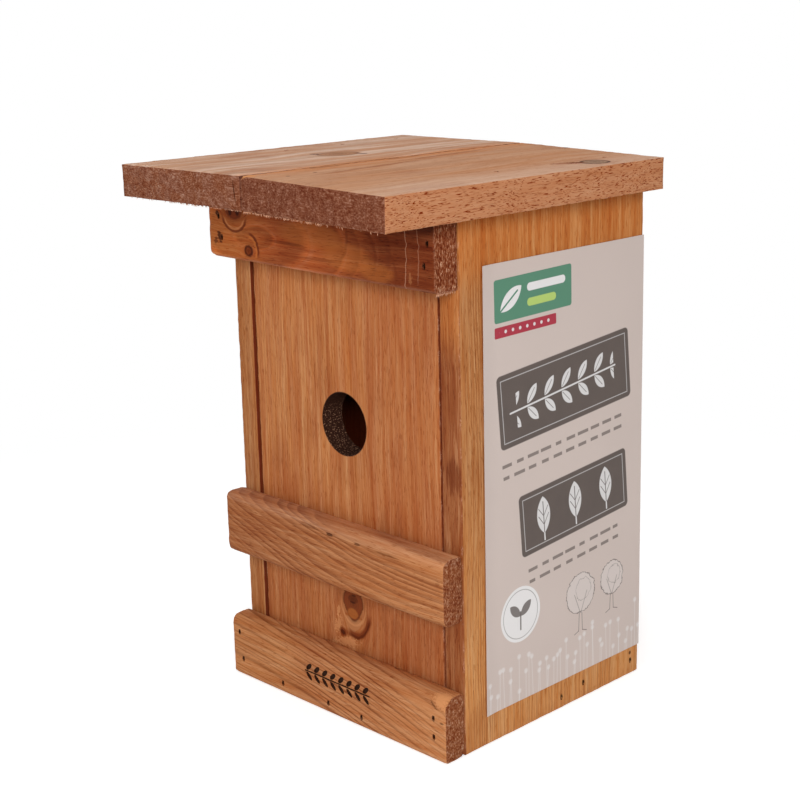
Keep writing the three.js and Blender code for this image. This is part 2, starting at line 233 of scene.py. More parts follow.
class NESTBOX_PG_tones(bpy.types.PropertyGroup):
    """Colours of the timber, the print and the metal."""

    panel_early: colour_property("Panel early wood", "Light bands of the front panel", paint(197, 128, 76))
    panel_late: colour_property("Panel late wood", "Dark lines of the front panel", paint(157, 87, 44))
    panel_red: colour_property("Panel red", "Redder streaks of the front panel", paint(171, 96, 56))
    side_early: colour_property("Side early wood", "Light bands of the side boards", paint(207, 144, 87))
    side_late: colour_property("Side late wood", "Dark lines of the side boards", paint(152, 88, 44))
    side_edge: colour_property("Side edge", "The planed front edges of the side boards", paint(133, 63, 34))
    batten_early: colour_property("Batten early wood", "Light bands of the low battens", paint(190, 125, 79))
    batten_late: colour_property("Batten late wood", "Dark lines of the low battens", paint(118, 58, 29))
    top_early: colour_property("Top batten early wood", "Light parts of the top batten", paint(198, 104, 54))
    top_late: colour_property("Top batten late wood", "Dark parts of the top batten", paint(104, 43, 18))
    roof_early: colour_property("Roof early wood", "Light bands of the roof boards", paint(194, 147, 115))
    roof_late: colour_property("Roof late wood", "Dark bands of the roof boards", paint(168, 120, 88))
    roof_streak: colour_property("Roof streaks", "Browner streaks along the roof boards", paint(186, 128, 88))
    roof_pale: colour_property("Roof pale wood", "Light bands of the left roof board", paint(217, 185, 164))
    roof_side: colour_property("Roof side", "The long sawn edges of the roof boards", paint(191, 128, 88))
    roof_end_dark: colour_property("Dark end grain", "Sawn ends of the right roof board", paint(112, 57, 38))
    roof_end: colour_property("Roof end grain", "Sawn ends of the left roof board", paint(125, 68, 43))
    batten_end: colour_property("Batten end grain", "Sawn ends of the battens", paint(121, 60, 36))
    knot: colour_property("Knot", "Heart of the knots", paint(117, 46, 14))
    bark: colour_property("Bark", "Dark rim round the knots, pitch and cracks", paint(52, 15, 3))
    # Painted shade: laid on the faces inside the box and deep in its gaps
    shade: colour_property("Shade", "Inside the box and deep in its gaps", paint(98, 16, 1))
    oil: colour_property("Oil", "Where the wood preserver has run together", paint(136, 70, 36))
    amber: colour_property("Amber", "Resin and the clear wood beside it", paint(202, 120, 56))
    fibre: colour_property("Torn fibre", "Pale fibres at sawn edges", paint(216, 164, 132))
    torn: colour_property("Torn wood", "Rough tan patches beside knots and chips", paint(208, 142, 92))
    bore: colour_property("Bore", "The scorched wall of the entrance", paint(54, 30, 21))
    burn: colour_property("Burn", "The burned ornament", paint(22, 9, 5))
    steel: colour_property("Plated steel", "Hanger and screws", paint(186, 186, 182))
    brad: colour_property("Brad wire", "Heads of the brads", paint(14, 5, 2))
    paper: colour_property("Paper", "Ground of the label", paint(205, 189, 181))
    ink: colour_property("Ink", "Dark areas of the label", paint(84, 72, 66))
    leaf: colour_property("Leaf", "Green area of the label", paint(83, 134, 108))
    berry: colour_property("Berry", "Red area of the label", paint(168, 44, 62))
    chalk: colour_property("Chalk", "White areas of the label", paint(232, 229, 228))


class NESTBOX_PG_sizes(bpy.types.PropertyGroup):
    """Sizes of the details that the boards are finished with."""

    arris: length_property("Arris", "How far sharp edges are worn round", 0.4 * MM)
    arris_wear: length_property("Arris wear", "How deep the worn edges are bitten", 0.45 * MM)
    face_wear: length_property("Face wear", "How uneven the sawn faces are", 0.08 * MM)
    bottom_round: length_property("Bottom batten rounding", "Radius of its front upper edge", 4.8 * MM)
    bottom_low_round: length_property("Bottom lower rounding", "Radius of its front lower edge", 1.6 * MM)
    heel_round: length_property("Heel rounding", "Radius of the bottom batten's rear lower edge", 4 * MM)
    middle_round: length_property("Middle batten rounding", "Radius of its long front edges", 3.6 * MM)
    rear_round: length_property("Rear rounding", "Radius of the rear edges of the low battens", 2.5 * MM)
    top_round: length_property("Top batten rounding", "Radius of its front lower edge", 2 * MM)
    ridge_rise: length_property("Ridge rise", "How far the roof climbs from a side to the seam", 1 * MM)
    paper: length_property("Paper", "Thickness of the label", 0.14 * MM)
    paper_lift: length_property("Paper lift", "How far the front edge of the label has come loose", 0.5 * MM)
    paper_swell: length_property("Paper swell", "How far the label stands off in soft waves", 0.15 * MM)
    rim: length_property("Rim", "How wide the edge of the entrance is broken", 0.5 * MM)
    burn: length_property("Burn", "How deep the ornament is burned into the bottom batten", 0.45 * MM)
    splinter: length_property("Splinter", "Length of the torn fibres at the sawn ends", 2.4 * MM)


class NESTBOX_PG_stage(bpy.types.PropertyGroup):
    """Strengths of the studio lamps."""

    key: power_property("Key lamp", "Power of the lamp near the camera", 13.5)
    top: power_property("Top lamp", "Power of the lamp above", 8.0)
    side: power_property("Side lamp", "Power of the weak lamp on the left", 2.0)
    sky: bpy.props.FloatProperty(
        name="Sky", description="Strength of the even light from all round", default=0.26, min=0
    )


class Channel:
    """An output of a shader node. Python's operators on it add Math nodes."""

    def __init__(self, finish, socket):
        self.finish = finish
        self.socket = socket

    def maths(self, operation, *others):
        return self.finish.maths(operation, self, *others)

    def __add__(self, other):
        return self.maths("ADD", other)

    __radd__ = __add__

    def __sub__(self, other):
        return self.maths("SUBTRACT", other)

    def __rsub__(self, other):
        return self.finish.maths("SUBTRACT", other, self)

    def __mul__(self, other):
        return self.maths("MULTIPLY", other)

    __rmul__ = __mul__

    def __truediv__(self, other):
        return self.maths("DIVIDE", other)

    def __rtruediv__(self, other):
        return self.finish.maths("DIVIDE", other, self)

    def __abs__(self):
        return self.maths("ABSOLUTE")

    def __neg__(self):
        return self.maths("MULTIPLY", -1)

    def squared(self):
        return self.maths("MULTIPLY", self)

    def root(self):
        return self.maths("SQRT")

    def at_least(self, other):
        return self.maths("MAXIMUM", other)

    def at_most(self, other):
        return self.maths("MINIMUM", other)

    def step(self, start, end):
        """Rises smoothly from 0 at start to 1 at end. With end below start, it falls."""
        if start > end:
            return 1 - self.step(end, start)
        settings = {"interpolation_type": "SMOOTHSTEP"}
        inputs = {"Value": self, "From Min": start, "From Max": end}
        return self.finish.node("ShaderNodeMapRange", settings, inputs)


class Finish:
    """A material whose nodes are made by Python expressions."""

    MIX_INPUTS = {"share": 0, "below": 6, "above": 7}
    MIX_RESULT = 2

    def __init__(self, name):
        self.material = bpy.data.materials.new(name)
        self.material.use_nodes = True
        self.tree = self.material.node_tree
        self.surface = self.tree.nodes["Principled BSDF"]

    def feed(self, socket, value):
        if isinstance(value, Channel):
            self.tree.links.new(value.socket, socket)
        elif socket.type == "RGBA" and len(value) == 3:
            socket.default_value = (*value, 1)
        else:
            socket.default_value = value

    def node(self, kind, settings=None, inputs=None, output=0):
        """Adds a node, sets it up, fills its sockets and returns one of its outputs."""
        node = self.tree.nodes.new(kind)
        for name, value in (settings or {}).items():
            setattr(node, name, value)
        for name, value in (inputs or {}).items():
            self.feed(node.inputs[name], value)
        return Channel(self, node.outputs[output])

    def maths(self, operation, *values):
        return self.node("ShaderNodeMath", {"operation": operation}, dict(enumerate(values)))

    def mix(self, below, above, share, blend="MIX"):
        """Lays one colour over another, as much as share says."""
        settings = {"data_type": "RGBA", "blend_type": blend, "clamp_factor": True}
        values = {"share": share, "below": below, "above": above}
        inputs = {self.MIX_INPUTS[name]: value for name, value in values.items()}
        return self.node("ShaderNodeMix", settings, inputs, self.MIX_RESULT)

    def brighten(self, colour, factor):
        """A colour made lighter or darker by a factor that changes over the surface."""
        return self.node("ShaderNodeVectorMath", {"operation": "SCALE"}, {"Vector": colour, "Scale": factor})

    def deepen(self, colour, power):
        """A colour under a thicker coat of preserver: darker and richer where the power is above 1."""
        return self.node("ShaderNodeGamma", None, {"Color": colour, "Gamma": power})

    def vector(self, x, y, z):
        return self.node("ShaderNodeCombineXYZ", None, {"X": x, "Y": y, "Z": z})

    def parts(self, vector):
        separate = self.node("ShaderNodeSeparateXYZ", None, {"Vector": vector}).socket.node
        return [Channel(self, output) for output in separate.outputs]

    def millimetres(self, middle, lean=0.0, pivot=(0, 0, 0)):
        """The place in millimetres from a point of the piece as it was before it leaned about a pivot."""
        place = self.node("ShaderNodeTexCoord", output="Object")
        turn = Euler((0, -lean, 0))
        pivot = Vector(pivot)
        offset = (pivot - turn.to_matrix() @ pivot - Vector(middle)) / MM
        inputs = {"Vector": place, "Location": offset, "Rotation": turn, "Scale": [1 / MM] * 3}
        return self.parts(self.node("ShaderNodeMapping", None, inputs))

    def facing(self):
        """How far the surface faces along x, y and z, without the sign."""
        return [abs(part) for part in self.parts(self.node("ShaderNodeTexCoord", output="Normal"))]

    def noise(self, vector, detail=1.0, rough=0.5):
        inputs = {"Vector": vector, "Scale": 1.0, "Detail": detail, "Roughness": rough}
        return self.node("ShaderNodeTexNoise", None, inputs)

    def noise_on_line(self, value):
        inputs = {"W": value, "Scale": 1.0, "Detail": 1.0}
        return self.node("ShaderNodeTexNoise", {"noise_dimensions": "1D"}, inputs)

    def chance(self, value):
        """A random number from 0 to 1 for each value."""
        return self.node("ShaderNodeTexWhiteNoise", {"noise_dimensions": "1D"}, {"W": value})

    def relief(self, height):
        """Bumps from a height in millimetres."""
        bump = self.node("ShaderNodeBump", None, {"Height": height, "Strength": 1.0, "Distance": MM})
        self.feed(self.surface.inputs["Normal"], bump)

    def set(self, **values):
        for name, value in values.items():
            self.feed(self.surface.inputs[name.replace("_", " ").title().replace("Ior", "IOR")], value)


@dataclass
class Knot:
    """A branch cut through, in millimetres from the board's middle."""

    along: float
    across: float
    radius: float
    stretch: float = 1.15
    taper: float = 0.0
    rim: float = 0.6
    halo: float = 0.4
    colour: tuple = None
    turn: float = 1.5


@dataclass
class Mark:
    """A spot of pitch, a crack or a stain, on a board's face, side or end or everywhere."""

    along: float
    across: float
    length: float
    width: float
    share: float = 1.0
    tone: str = "bark"
    turn: float = 0.0
    on: str = "face"
    ragged: float = 1.0


@dataclass
class Arc:
    """Part of a ring on a board's face, whose middle lies in a direction counted from across to along."""

    along: float
    across: float
    radius: float
    toward: float
    spread: float
    width: float = 0.7
    share: float = 0.7
    tone: str = "bark"
    stretch: float = 1.0


@dataclass
class Wash:
    """A slow change of colour along or across the board, between two places in millimetres."""

    way: str
    start: float
    end: float
    colour: tuple
    share: float
    ragged: float = 8.0
    on: str = "everywhere"


@dataclass
class Growth:
    """How the timber of one board grew and was cut, in millimetres from the board's middle."""

    grain: str
    face: str
    early: tuple
    late: tuple
    end_tone: tuple
    inner: float = 0.0
    seed: float = 0.0
    ring: float = 2.2
    pith: tuple = (60.0, 20.0)
    lean: tuple = (0.0, 0.0)
    bend: float = 0.0
    wander: float = 1.2
    contrast: float = 0.6
    soft: float = 0.35
    glint: float = 0.0
    tint: tuple = None
    tint_share: float = 0.4
    fibre: float = 0.7
    band: float = 0.6
    side_pore: float = 0.0
    blotch: float = 0.25
    fuzz: float = 0.4
    speck: tuple = (1.1, 0.5)
    end_share: float = 0.75
    end_grit: float = 2.6
    end_fleck: float = 0.3
    gloss: float = 0.62
    sheen: float = 0.07
    knots: tuple = ()
    arcs: tuple = ()
    marks: tuple = ()
    washes: tuple = ()


class Timber:
    """The grain of a board, from which its colour and its relief are worked out."""

    def __init__(self, finish, growth, low, high, lean=0.0, pivot=(0, 0, 0)):
        self.finish = finish
        self.growth = growth
        place = dict(zip(AXES, finish.millimetres((low + high) / 2, lean, pivot)))
        facing = dict(zip(AXES, finish.facing()))
        halves = dict(zip(AXES, (high - low) / (2 * MM)))
        width = (set(AXES) - {growth.grain, growth.face}).pop()
        self.along = place[growth.grain]
        self.across = place[width]
        self.deep = place[growth.face]
        # The parts of the surface that a mark or a wash may be kept to
        self.end = facing[growth.grain].step(0.5, 0.8)
        self.side = facing[width].step(0.5, 0.8)
        self.face = facing[growth.face].step(0.3, 0.7)
        self.everywhere = 1.0
        half = halves[growth.face]
        # The face that looks into the box, which is given painted shade
        self.inside = (self.deep * growth.inner).step(half - 0.9, half - 0.5)
        # Distances from the block's faces: two short ones meet at an edge, and loose fibres lie below 0
        gaps = [halves[axis] - abs(place[axis]) for axis in AXES]
        first_two = gaps[0].at_least(gaps[1])
        self.edge = gaps[0].at_most(gaps[1]).at_least(first_two.at_most(gaps[2]))
        self.outside = gaps[0].at_most(gaps[1]).at_most(gaps[2])
        self.line = self.bent()
        self.late, self.glint = self.rings()
        self.fibre = self.streaks(*FIBRE_STREAKS)
        self.band = self.streaks(*BAND_STREAKS)
        self.pore = self.streaks(*PORE_STREAKS).step(0.6, 0.74)
        self.dash = self.streaks(*DASH_STREAKS).step(0.59, 0.69)
        self.speckle = self.streaks(*SPECKLE_STREAKS)
        wide, tall = growth.speck
        grain = finish.vector(self.line / wide, self.deep / tall, self.along / GRIT_LENGTH)
        self.grit = finish.noise(grain, 3.0, 0.65)
        self.blotch = self.cloud(self.across, *STAIN_CLOUD)

    def cloud(self, line, length, width):
        """Soft noise over a board."""
        along = self.along / length + self.growth.seed
        return self.finish.noise(self.finish.vector(along, line / width, self.deep / width))

    def streaks(self, length, width, detail=1.0):
        """Noise drawn out along the grain."""
        seed = self.growth.seed + length
        vector = self.finish.vector(self.along / length + seed, self.line / width, self.deep / width)
        return self.finish.noise(vector, detail)

    def bent(self):
        """The place across the board, with the grain led round the knots."""
        line = self.across
        for knot in self.growth.knots:
            along = (self.along - knot.along) / (knot.stretch * knot.turn)
            across = self.across - knot.across
            reach = along.squared() + across.squared()
            line = line - across * (knot.radius * knot.radius / reach).at_most(1.0)
        slow = self.cloud(line, *SLOW_CLOUD)
        quick = self.cloud(line, *QUICK_CLOUD)
        return line + ((slow - 0.5) * 4 + (quick - 0.5)) * self.growth.wander

    def rings(self):
        """How much late wood lies here, and how much of the bright line beside it."""
        growth = self.growth
        lean = self.along * growth.lean[0] + self.along.squared() * growth.bend
        across = self.line - growth.pith[0] - lean
        deep = self.deep - growth.pith[1] - self.along * growth.lean[1]
        radius = (across.squared() + deep.squared()).root() / growth.ring
        year = radius + self.finish.noise_on_line(radius / 5 + growth.seed) * 4
        part = year.maths("FRACT")
        vigour = self.finish.chance(year.maths("FLOOR") + growth.seed)
        rising = part.step(1 - 2 * growth.soft - 0.1, 0.92)
        late = rising * part.step(1.0, 1 - growth.soft * 0.3) * (vigour * 0.65 + 0.35)
        glint = part.step(0.0, 0.05) * part.step(0.16, 0.07) * vigour.step(0.35, 0.6)
        return late, glint

    def around(self, knot):
        """The distance from a knot's middle, in millimetres, ragged like the knot itself."""
        along = (self.along - knot.along) / knot.stretch
        across = self.across - knot.across
        if knot.taper:
            across = across * (1 + (-along / knot.radius).at_least(0.0) * knot.taper)
        return (along.squared() + across.squared()).root() + (self.speckle - 0.5) * 1.2

    def spot(self, mark):
        """How much of a mark lies here."""
        along = (self.deep if mark.on == "end" else self.along) - mark.along
        across = (self.deep if mark.on == "side" else self.across) - mark.across
        if mark.turn:
            turn = math.radians(mark.turn)
            turned = along * math.cos(turn) + across * math.sin(turn)
            across = across * math.cos(turn) - along * math.sin(turn)
            along = turned
        along, across = along / mark.length, across / mark.width
        ragged = self.grit if mark.tone == "torn" else self.fibre
        reach = (along.squared() + across.squared()).root() + (ragged - 0.5) * mark.ragged
        return reach.step(1.2, 0.7) * getattr(self, mark.on) * mark.share

    def arc(self, arc):
        """How much of an arc lies here."""
        along = (self.along - arc.along) / arc.stretch
        across = self.across - arc.across
        reach = (along.squared() + across.squared()).root()
        toward = math.radians(arc.toward)
        facing = (across * math.cos(toward) + along * math.sin(toward)) / reach
        window = facing.step(math.cos(math.radians(arc.spread)), math.cos(math.radians(arc.spread * 0.6)))
        gap = abs(reach - arc.radius + (self.band - 0.5) * 1.6) / arc.width
        return gap.step(1.0, 0.3) * window * arc.share * self.face

    def torn_edges(self):
        """How much loose fibre the edges carry, in patches along the grain."""
        along = self.along / PATCH_LENGTH + self.growth.seed
        patch = self.finish.noise_on_line(along).step(0.42, 0.66)
        return (self.edge + (self.speckle - 0.5) * 3).step(0.9, 0.0) * patch * self.growth.fuzz

    def grown(self, tones):
        """The colour of the faces: rings, streaks, washes and pores."""
        finish, growth = self.finish, self.growth
        colour = finish.mix(growth.early, growth.late, self.late * growth.contrast)
        if growth.glint:
            colour = finish.mix(colour, tones.fibre, self.glint * growth.glint * self.face)
        if growth.tint:
            tinted = self.streaks(*TINT_STREAKS).step(0.4, 0.62)
            colour = finish.mix(colour, growth.tint, tinted * growth.tint_share)
        colour = finish.mix(colour, tones.oil, self.blotch.step(0.5, 0.75) * growth.blotch)
        for wash in growth.washes:
            way = getattr(self, wash.way) + (self.band - 0.5) * wash.ragged
            share = way.step(wash.start, wash.end) * wash.share * getattr(self, wash.on)
            colour = finish.mix(colour, wash.colour, share)
        pore = self.pore * PORE_SHARE
        if growth.side_pore:
            pore = pore + self.dash * self.side * growth.side_pore
        shade = (0.5 - self.fibre) * growth.fibre + (0.5 - self.band) * growth.band
        return finish.deepen(colour, (shade + pore + 1).at_least(0.6))

    def with_knots(self, colour, tones):
        """Lays each knot over a colour, with its rings, its halo and its dark rim."""
        finish = self.finish
        for knot in self.growth.knots:
            reach = self.around(knot)
            rings = (reach * 4.2).maths("SINE") * 0.16 + reach.step(knot.radius * 0.9, 0.0) * 0.35
            heart = finish.mix(knot.colour or tones.knot, tones.bark, rings)
            colour = finish.mix(colour, tones.oil, reach.step(knot.radius * 2.2, knot.radius) * knot.halo)
            colour = finish.mix(colour, heart, reach.step(knot.radius + 0.4, knot.radius - 0.5) * 0.85)
            rim = reach.step(knot.radius - 1.3, knot.radius) * reach.step(knot.radius + 0.9, knot.radius)
            colour = finish.mix(colour, tones.bark, rim * knot.rim)
        return colour

    def with_end_grain(self, colour, tones):
        """Changes a colour to that of the sawn ends where the surface is one."""
        finish, growth = self.finish, self.growth
        end_colour = finish.mix(colour, growth.end_tone, growth.end_share)
        mottle = (0.5 - self.grit) * growth.end_grit + (0.5 - self.band) * END_MOTTLE
        end_colour = finish.deepen(end_colour, mottle + 1)
        end_colour = finish.mix(end_colour, tones.fibre, self.grit.step(0.6, 0.72) * growth.end_fleck)
        return finish.mix(colour, end_colour, self.end)


def timber_finish(name, growth, tones, last=None, box=None, lean=0.0, pivot=(0, 0, 0)):
    """Planed or sawn softwood under a clear brown preserver. The last step may paint over the colour."""
    finish = Finish(name)
    timber = Timber(finish, growth, *(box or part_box(name)), lean, pivot)
    colour = timber.with_knots(timber.grown(tones), tones)
    colour = timber.with_end_grain(colour, tones)
    fuzz = timber.torn_edges()
    loose = timber.outside.step(0.0, -0.2)
    colour = finish.mix(colour, tones.fibre, fuzz.at_least(loose * 0.8))
    for arc in growth.arcs:
        colour = finish.mix(colour, getattr(tones, arc.tone), timber.arc(arc))
    for mark in growth.marks:
        colour = finish.mix(colour, getattr(tones, mark.tone), timber.spot(mark))
    # Painted shade on the faces that look into the box
    if growth.inner:
        colour = finish.mix(colour, tones.shade, timber.inside * INNER_SHADE)
    if last:
        colour = last(finish, timber, colour, tones)

    grain = timber.fibre * 0.09 + timber.late * 0.05 - timber.pore * 0.12
    height = grain * (1 - timber.end) + timber.speckle * (timber.end * 0.4 + fuzz * 0.3)
    finish.relief(height)
    gloss = growth.gloss + (timber.fibre - 0.5) * 0.2 + timber.end * 0.2
    finish.set(base_color=colour, roughness=gloss, specular_ior_level=growth.sheen)
    return finish.material


def deselect():
    bpy.ops.object.select_all(action="DESELECT")


def only(piece):
    """Makes one piece the selected and active one."""
    deselect()
    piece.select_set(True)
    bpy.context.view_layer.objects.active = piece


@contextmanager
def editing(piece):
    """Puts a piece in edit mode for as long as the block lasts."""
    only(piece)
    bpy.ops.object.mode_set(mode="EDIT")
    yield
    bpy.ops.object.mode_set(mode="OBJECT")


def pick(piece, kind, test):
    """In edit mode, selects only the vertices, edges or faces that pass a test."""
    bpy.ops.mesh.select_mode(type=kind)
    bpy.ops.mesh.select_all(action="DESELECT")
    mesh = bmesh.from_edit_mesh(piece.data)
    elements = {"VERT": mesh.verts, "EDGE": mesh.edges, "FACE": mesh.faces}[kind]
    for element in elements:
        if test(element):
            element.select_set(True)
    bmesh.update_edit_mesh(piece.data)


def settle(piece):
    """Puts a piece's place, turn and size into its mesh."""
    only(piece)
    bpy.ops.object.transform_apply(location=True, rotation=True, scale=True)
    return piece


def apply_modifier(piece, modifier):
    """Puts what a modifier does into the mesh."""
    only(piece)
    bpy.ops.object.modifier_apply(modifier=modifier.name)


def combine(piece, tool, operation):
    """Adds another closed shape to a piece, or cuts it away, and removes it."""
    step = piece.modifiers.new("combine", "BOOLEAN")
    step.object = tool
    step.operation = operation
    step.solver = "EXACT"
    apply_modifier(piece, step)
    bpy.data.objects.remove(tool)


def add_block(name, low, high):
    """A block between two corners."""
    deselect()
    bpy.ops.mesh.primitive_cube_add(size=1, location=(low + high) / 2, scale=high - low)
    block = bpy.context.active_object
    block.name = name
    return settle(block)


def add_rod(name, middle, radius, length, axis, sides=48):
    """A cylinder along Y or Z."""
    deselect()
    bpy.ops.mesh.primitive_cylinder_add(vertices=sides, radius=radius, depth=length, location=middle)
    rod = bpy.context.active_object
    rod.name = name
    if axis == "Y":
        bpy.ops.transform.rotate(value=math.pi / 2, orient_axis="X", center_override=middle)
    return settle(rod)


def add_cone(name, middle, rear_radius, front_radius, length, sides):
    """A cut-off cone along Y, with one radius at its rear end and one at its front end."""
    deselect()
    bpy.ops.mesh.primitive_cone_add(
        vertices=sides, radius1=rear_radius, radius2=front_radius, depth=length,
        location=middle, rotation=(math.pi / 2, 0, 0),
    )
    cone = bpy.context.active_object
    cone.name = name
    return settle(cone)


def runs_along(edge, axis, least):
    """Whether an edge lies along an axis and is longer than a length."""
    way = edge.verts[1].co - edge.verts[0].co
    return abs(way[axis]) > least and abs(way[axis]) > 0.999 * way.length


def round_edges(piece, radius, segments, test):
    """Rounds the edges that pass a test."""
    with editing(piece):
        pick(piece, "EDGE", test)
        bpy.ops.mesh.bevel(offset_type="OFFSET", offset=radius, segments=segments, affect="EDGES")


def is_sharp(edge):
    """Whether the two faces of an edge meet at a sharp angle."""
    return edge.is_manifold and edge.calc_face_angle(0) > SHARP_ANGLE


def slice_up(piece, cell):
    """Cuts a block into small fields, so that its faces and edges can be uneven."""
    for axis in range(3):
        with editing(piece):
            edges = bmesh.from_edit_mesh(piece.data).edges
            longest = max(edge.calc_length() for edge in edges if runs_along(edge, axis, 0))
            cuts = min(round(longest / cell), MOST_CUTS)
            if cuts > 1:
                pick(piece, "EDGE", lambda edge: runs_along(edge, axis, longest * 0.6))
                bpy.ops.mesh.subdivide(number_cuts=cuts - 1)


def wear(piece, depth, grain, group="", base=1.0):
    """Lets noise bite into a piece up to a depth. With a base of 0 the noise raises it instead."""
    texture = bpy.data.textures.new(piece.name + "_wear", "CLOUDS")
    texture.noise_scale = grain
    texture.noise_depth = 2
    bite = piece.modifiers.new("bite", "DISPLACE")
    bite.texture = texture
    bite.texture_coords = "LOCAL"
    bite.strength = depth
    bite.mid_level = base
    bite.vertex_group = group
    apply_modifier(piece, bite)


def gather_edges(piece, low, high, reach):
    """Puts the vertices that lie near an edge of the block in a vertex group."""
    def near_edge(vertex):
        gaps = sorted(min(vertex.co[i] - low[i], high[i] - vertex.co[i]) for i in range(3))
        return gaps[1] < reach

    with editing(piece):
        pick(piece, "VERT", near_edge)
        bpy.ops.object.vertex_group_assign_new()
    piece.vertex_groups[-1].name = EDGE_GROUP


def carve(piece, cutters):
    """Cuts closed shapes out of a piece in one go."""
    deselect()
    for cutter in cutters:
        cutter.select_set(True)
    bpy.context.view_layer.objects.active = cutters[0]
    if len(cutters) > 1:
        bpy.ops.object.join()
    combine(piece, bpy.context.active_object, "DIFFERENCE")


def slice_off(piece, place, normal):
    """Cuts away what lies beyond a plane."""
    way = Vector(normal).normalized()
    with editing(piece):
        bpy.ops.mesh.select_all(action="SELECT")
        bpy.ops.mesh.bisect(plane_co=place, plane_no=way, use_fill=True, clear_outer=True)


def slope_top(piece, apex, hands, slope):
    """Cuts a wall's top to the lean of the roof, which falls from an apex to one hand or both."""
    for hand in hands:
        slice_off(piece, apex, (hand * slope, 0, 1))


def lean_over(piece, angle, pivot):
    """Leans a piece about a line through the pivot that runs along Y."""
    only(piece)
    bpy.ops.transform.rotate(value=-angle, orient_axis="Y", center_override=pivot)
    settle(piece)


def add_splinters(piece, start, end, count, length, hang, chance):
    """Joins thin torn fibres to a sawn edge. They thin out from the start of the line to its end."""
    with editing(piece):
        for _ in range(count):
            place = start.lerp(end, chance.random() ** 1.6)
            sway = Vector([chance.uniform(-0.5, 0.5) for _ in range(3)])
            way = (hang + sway).normalized()
            long = length * chance.uniform(0.35, 1.0)
            bpy.ops.mesh.primitive_cone_add(
                vertices=5, radius1=long * chance.uniform(0.12, 0.22), depth=long,
                location=place + way * long * 0.3, rotation=way.to_track_quat("Z", "Y").to_euler(),
            )


def sawn_board(name, low, high, sizes, cell, roundings=()):
    """A board with worn arrises and slightly uneven faces. A rounding is a radius and the edges it is for."""
    piece = add_block(name, low, high)
    for radius, test in roundings:
        round_edges(piece, radius, ROUNDING_SEGMENTS, test)
    round_edges(piece, sizes.arris, ARRIS_SEGMENTS, is_sharp)
    slice_up(piece, cell)
    gather_edges(piece, low, high, sizes.arris * 1.5)
    wear(piece, sizes.arris_wear, EDGE_GRAIN, EDGE_GROUP)
    wear(piece, sizes.face_wear, FACE_GRAIN)
    return piece


def brad_pits(nodes, axis, hand):
    """Slots above the sunk heads of brads that were driven in along an axis, from the side of a hand."""
    cutters = []
    for node in nodes:
        low, high = (Vector(corner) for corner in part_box(node))
        if axis == 2:
            # A roof brad leans with its board, so its head lies at the outer end of its box
            if high.x > body_middle().x:
                low.x = high.x - BRAD_WIRE
            else:
                high.x = low.x + BRAD_WIRE
        if hand > 0:
            low[axis] = high[axis] - BRAD_PIT / 2
            high[axis] += BRAD_PIT
        else:
            high[axis] = low[axis] + BRAD_PIT / 2
            low[axis] -= BRAD_PIT
        for side in range(3):
            if side != axis:
                low[side] -= PIT_GAP
                high[side] += PIT_GAP
        cutters.append(add_block("pit", low, high))
    return cutters


def pit_marks(nodes, board, along, across):
    """Dark spots in and round the pits of a board's brads."""
    marks = []
    for node in nodes:
        low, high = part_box(node)
        place = (middle_of(node) - middle_of(board)) / MM
        half = (high - low) / 2 / MM
        sizes = half[along] + PIT_RIM / MM, half[across] + PIT_RIM / MM
        spot = Mark(place[along], place[across], *sizes, 0.97, "burn", on="everywhere", ragged=0.5)
        marks.append(spot)
    return tuple(marks)


def hand_over(piece, node, material):
    """Gives a finished piece its material and its shading, and the place of a CAD node in the frame."""
    piece.data.materials.clear()
    piece.data.materials.append(material)
    only(piece)
    bpy.ops.object.shade_smooth_by_angle(angle=SMOOTH_ANGLE)
    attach(piece, frame["nodes"][node]["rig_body"])
    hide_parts(node)


def dress_node(node, material):
    """Gives a material to a CAD node that is kept as it is."""
    piece = frame["nodes"][node]
    piece.data.materials.clear()
    piece.data.materials.append(material)


def node_names(*words):
    """The CAD nodes whose names hold all the words."""
    return sorted(name for name in frame["nodes"] if all(word in name for word in words))


def roof_slope(sizes):
    """How steeply the roof climbs from each side to the seam."""
    half_width = (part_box("side_right")[1].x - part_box("side_left")[0].x) / 2
    return sizes.ridge_rise / half_width


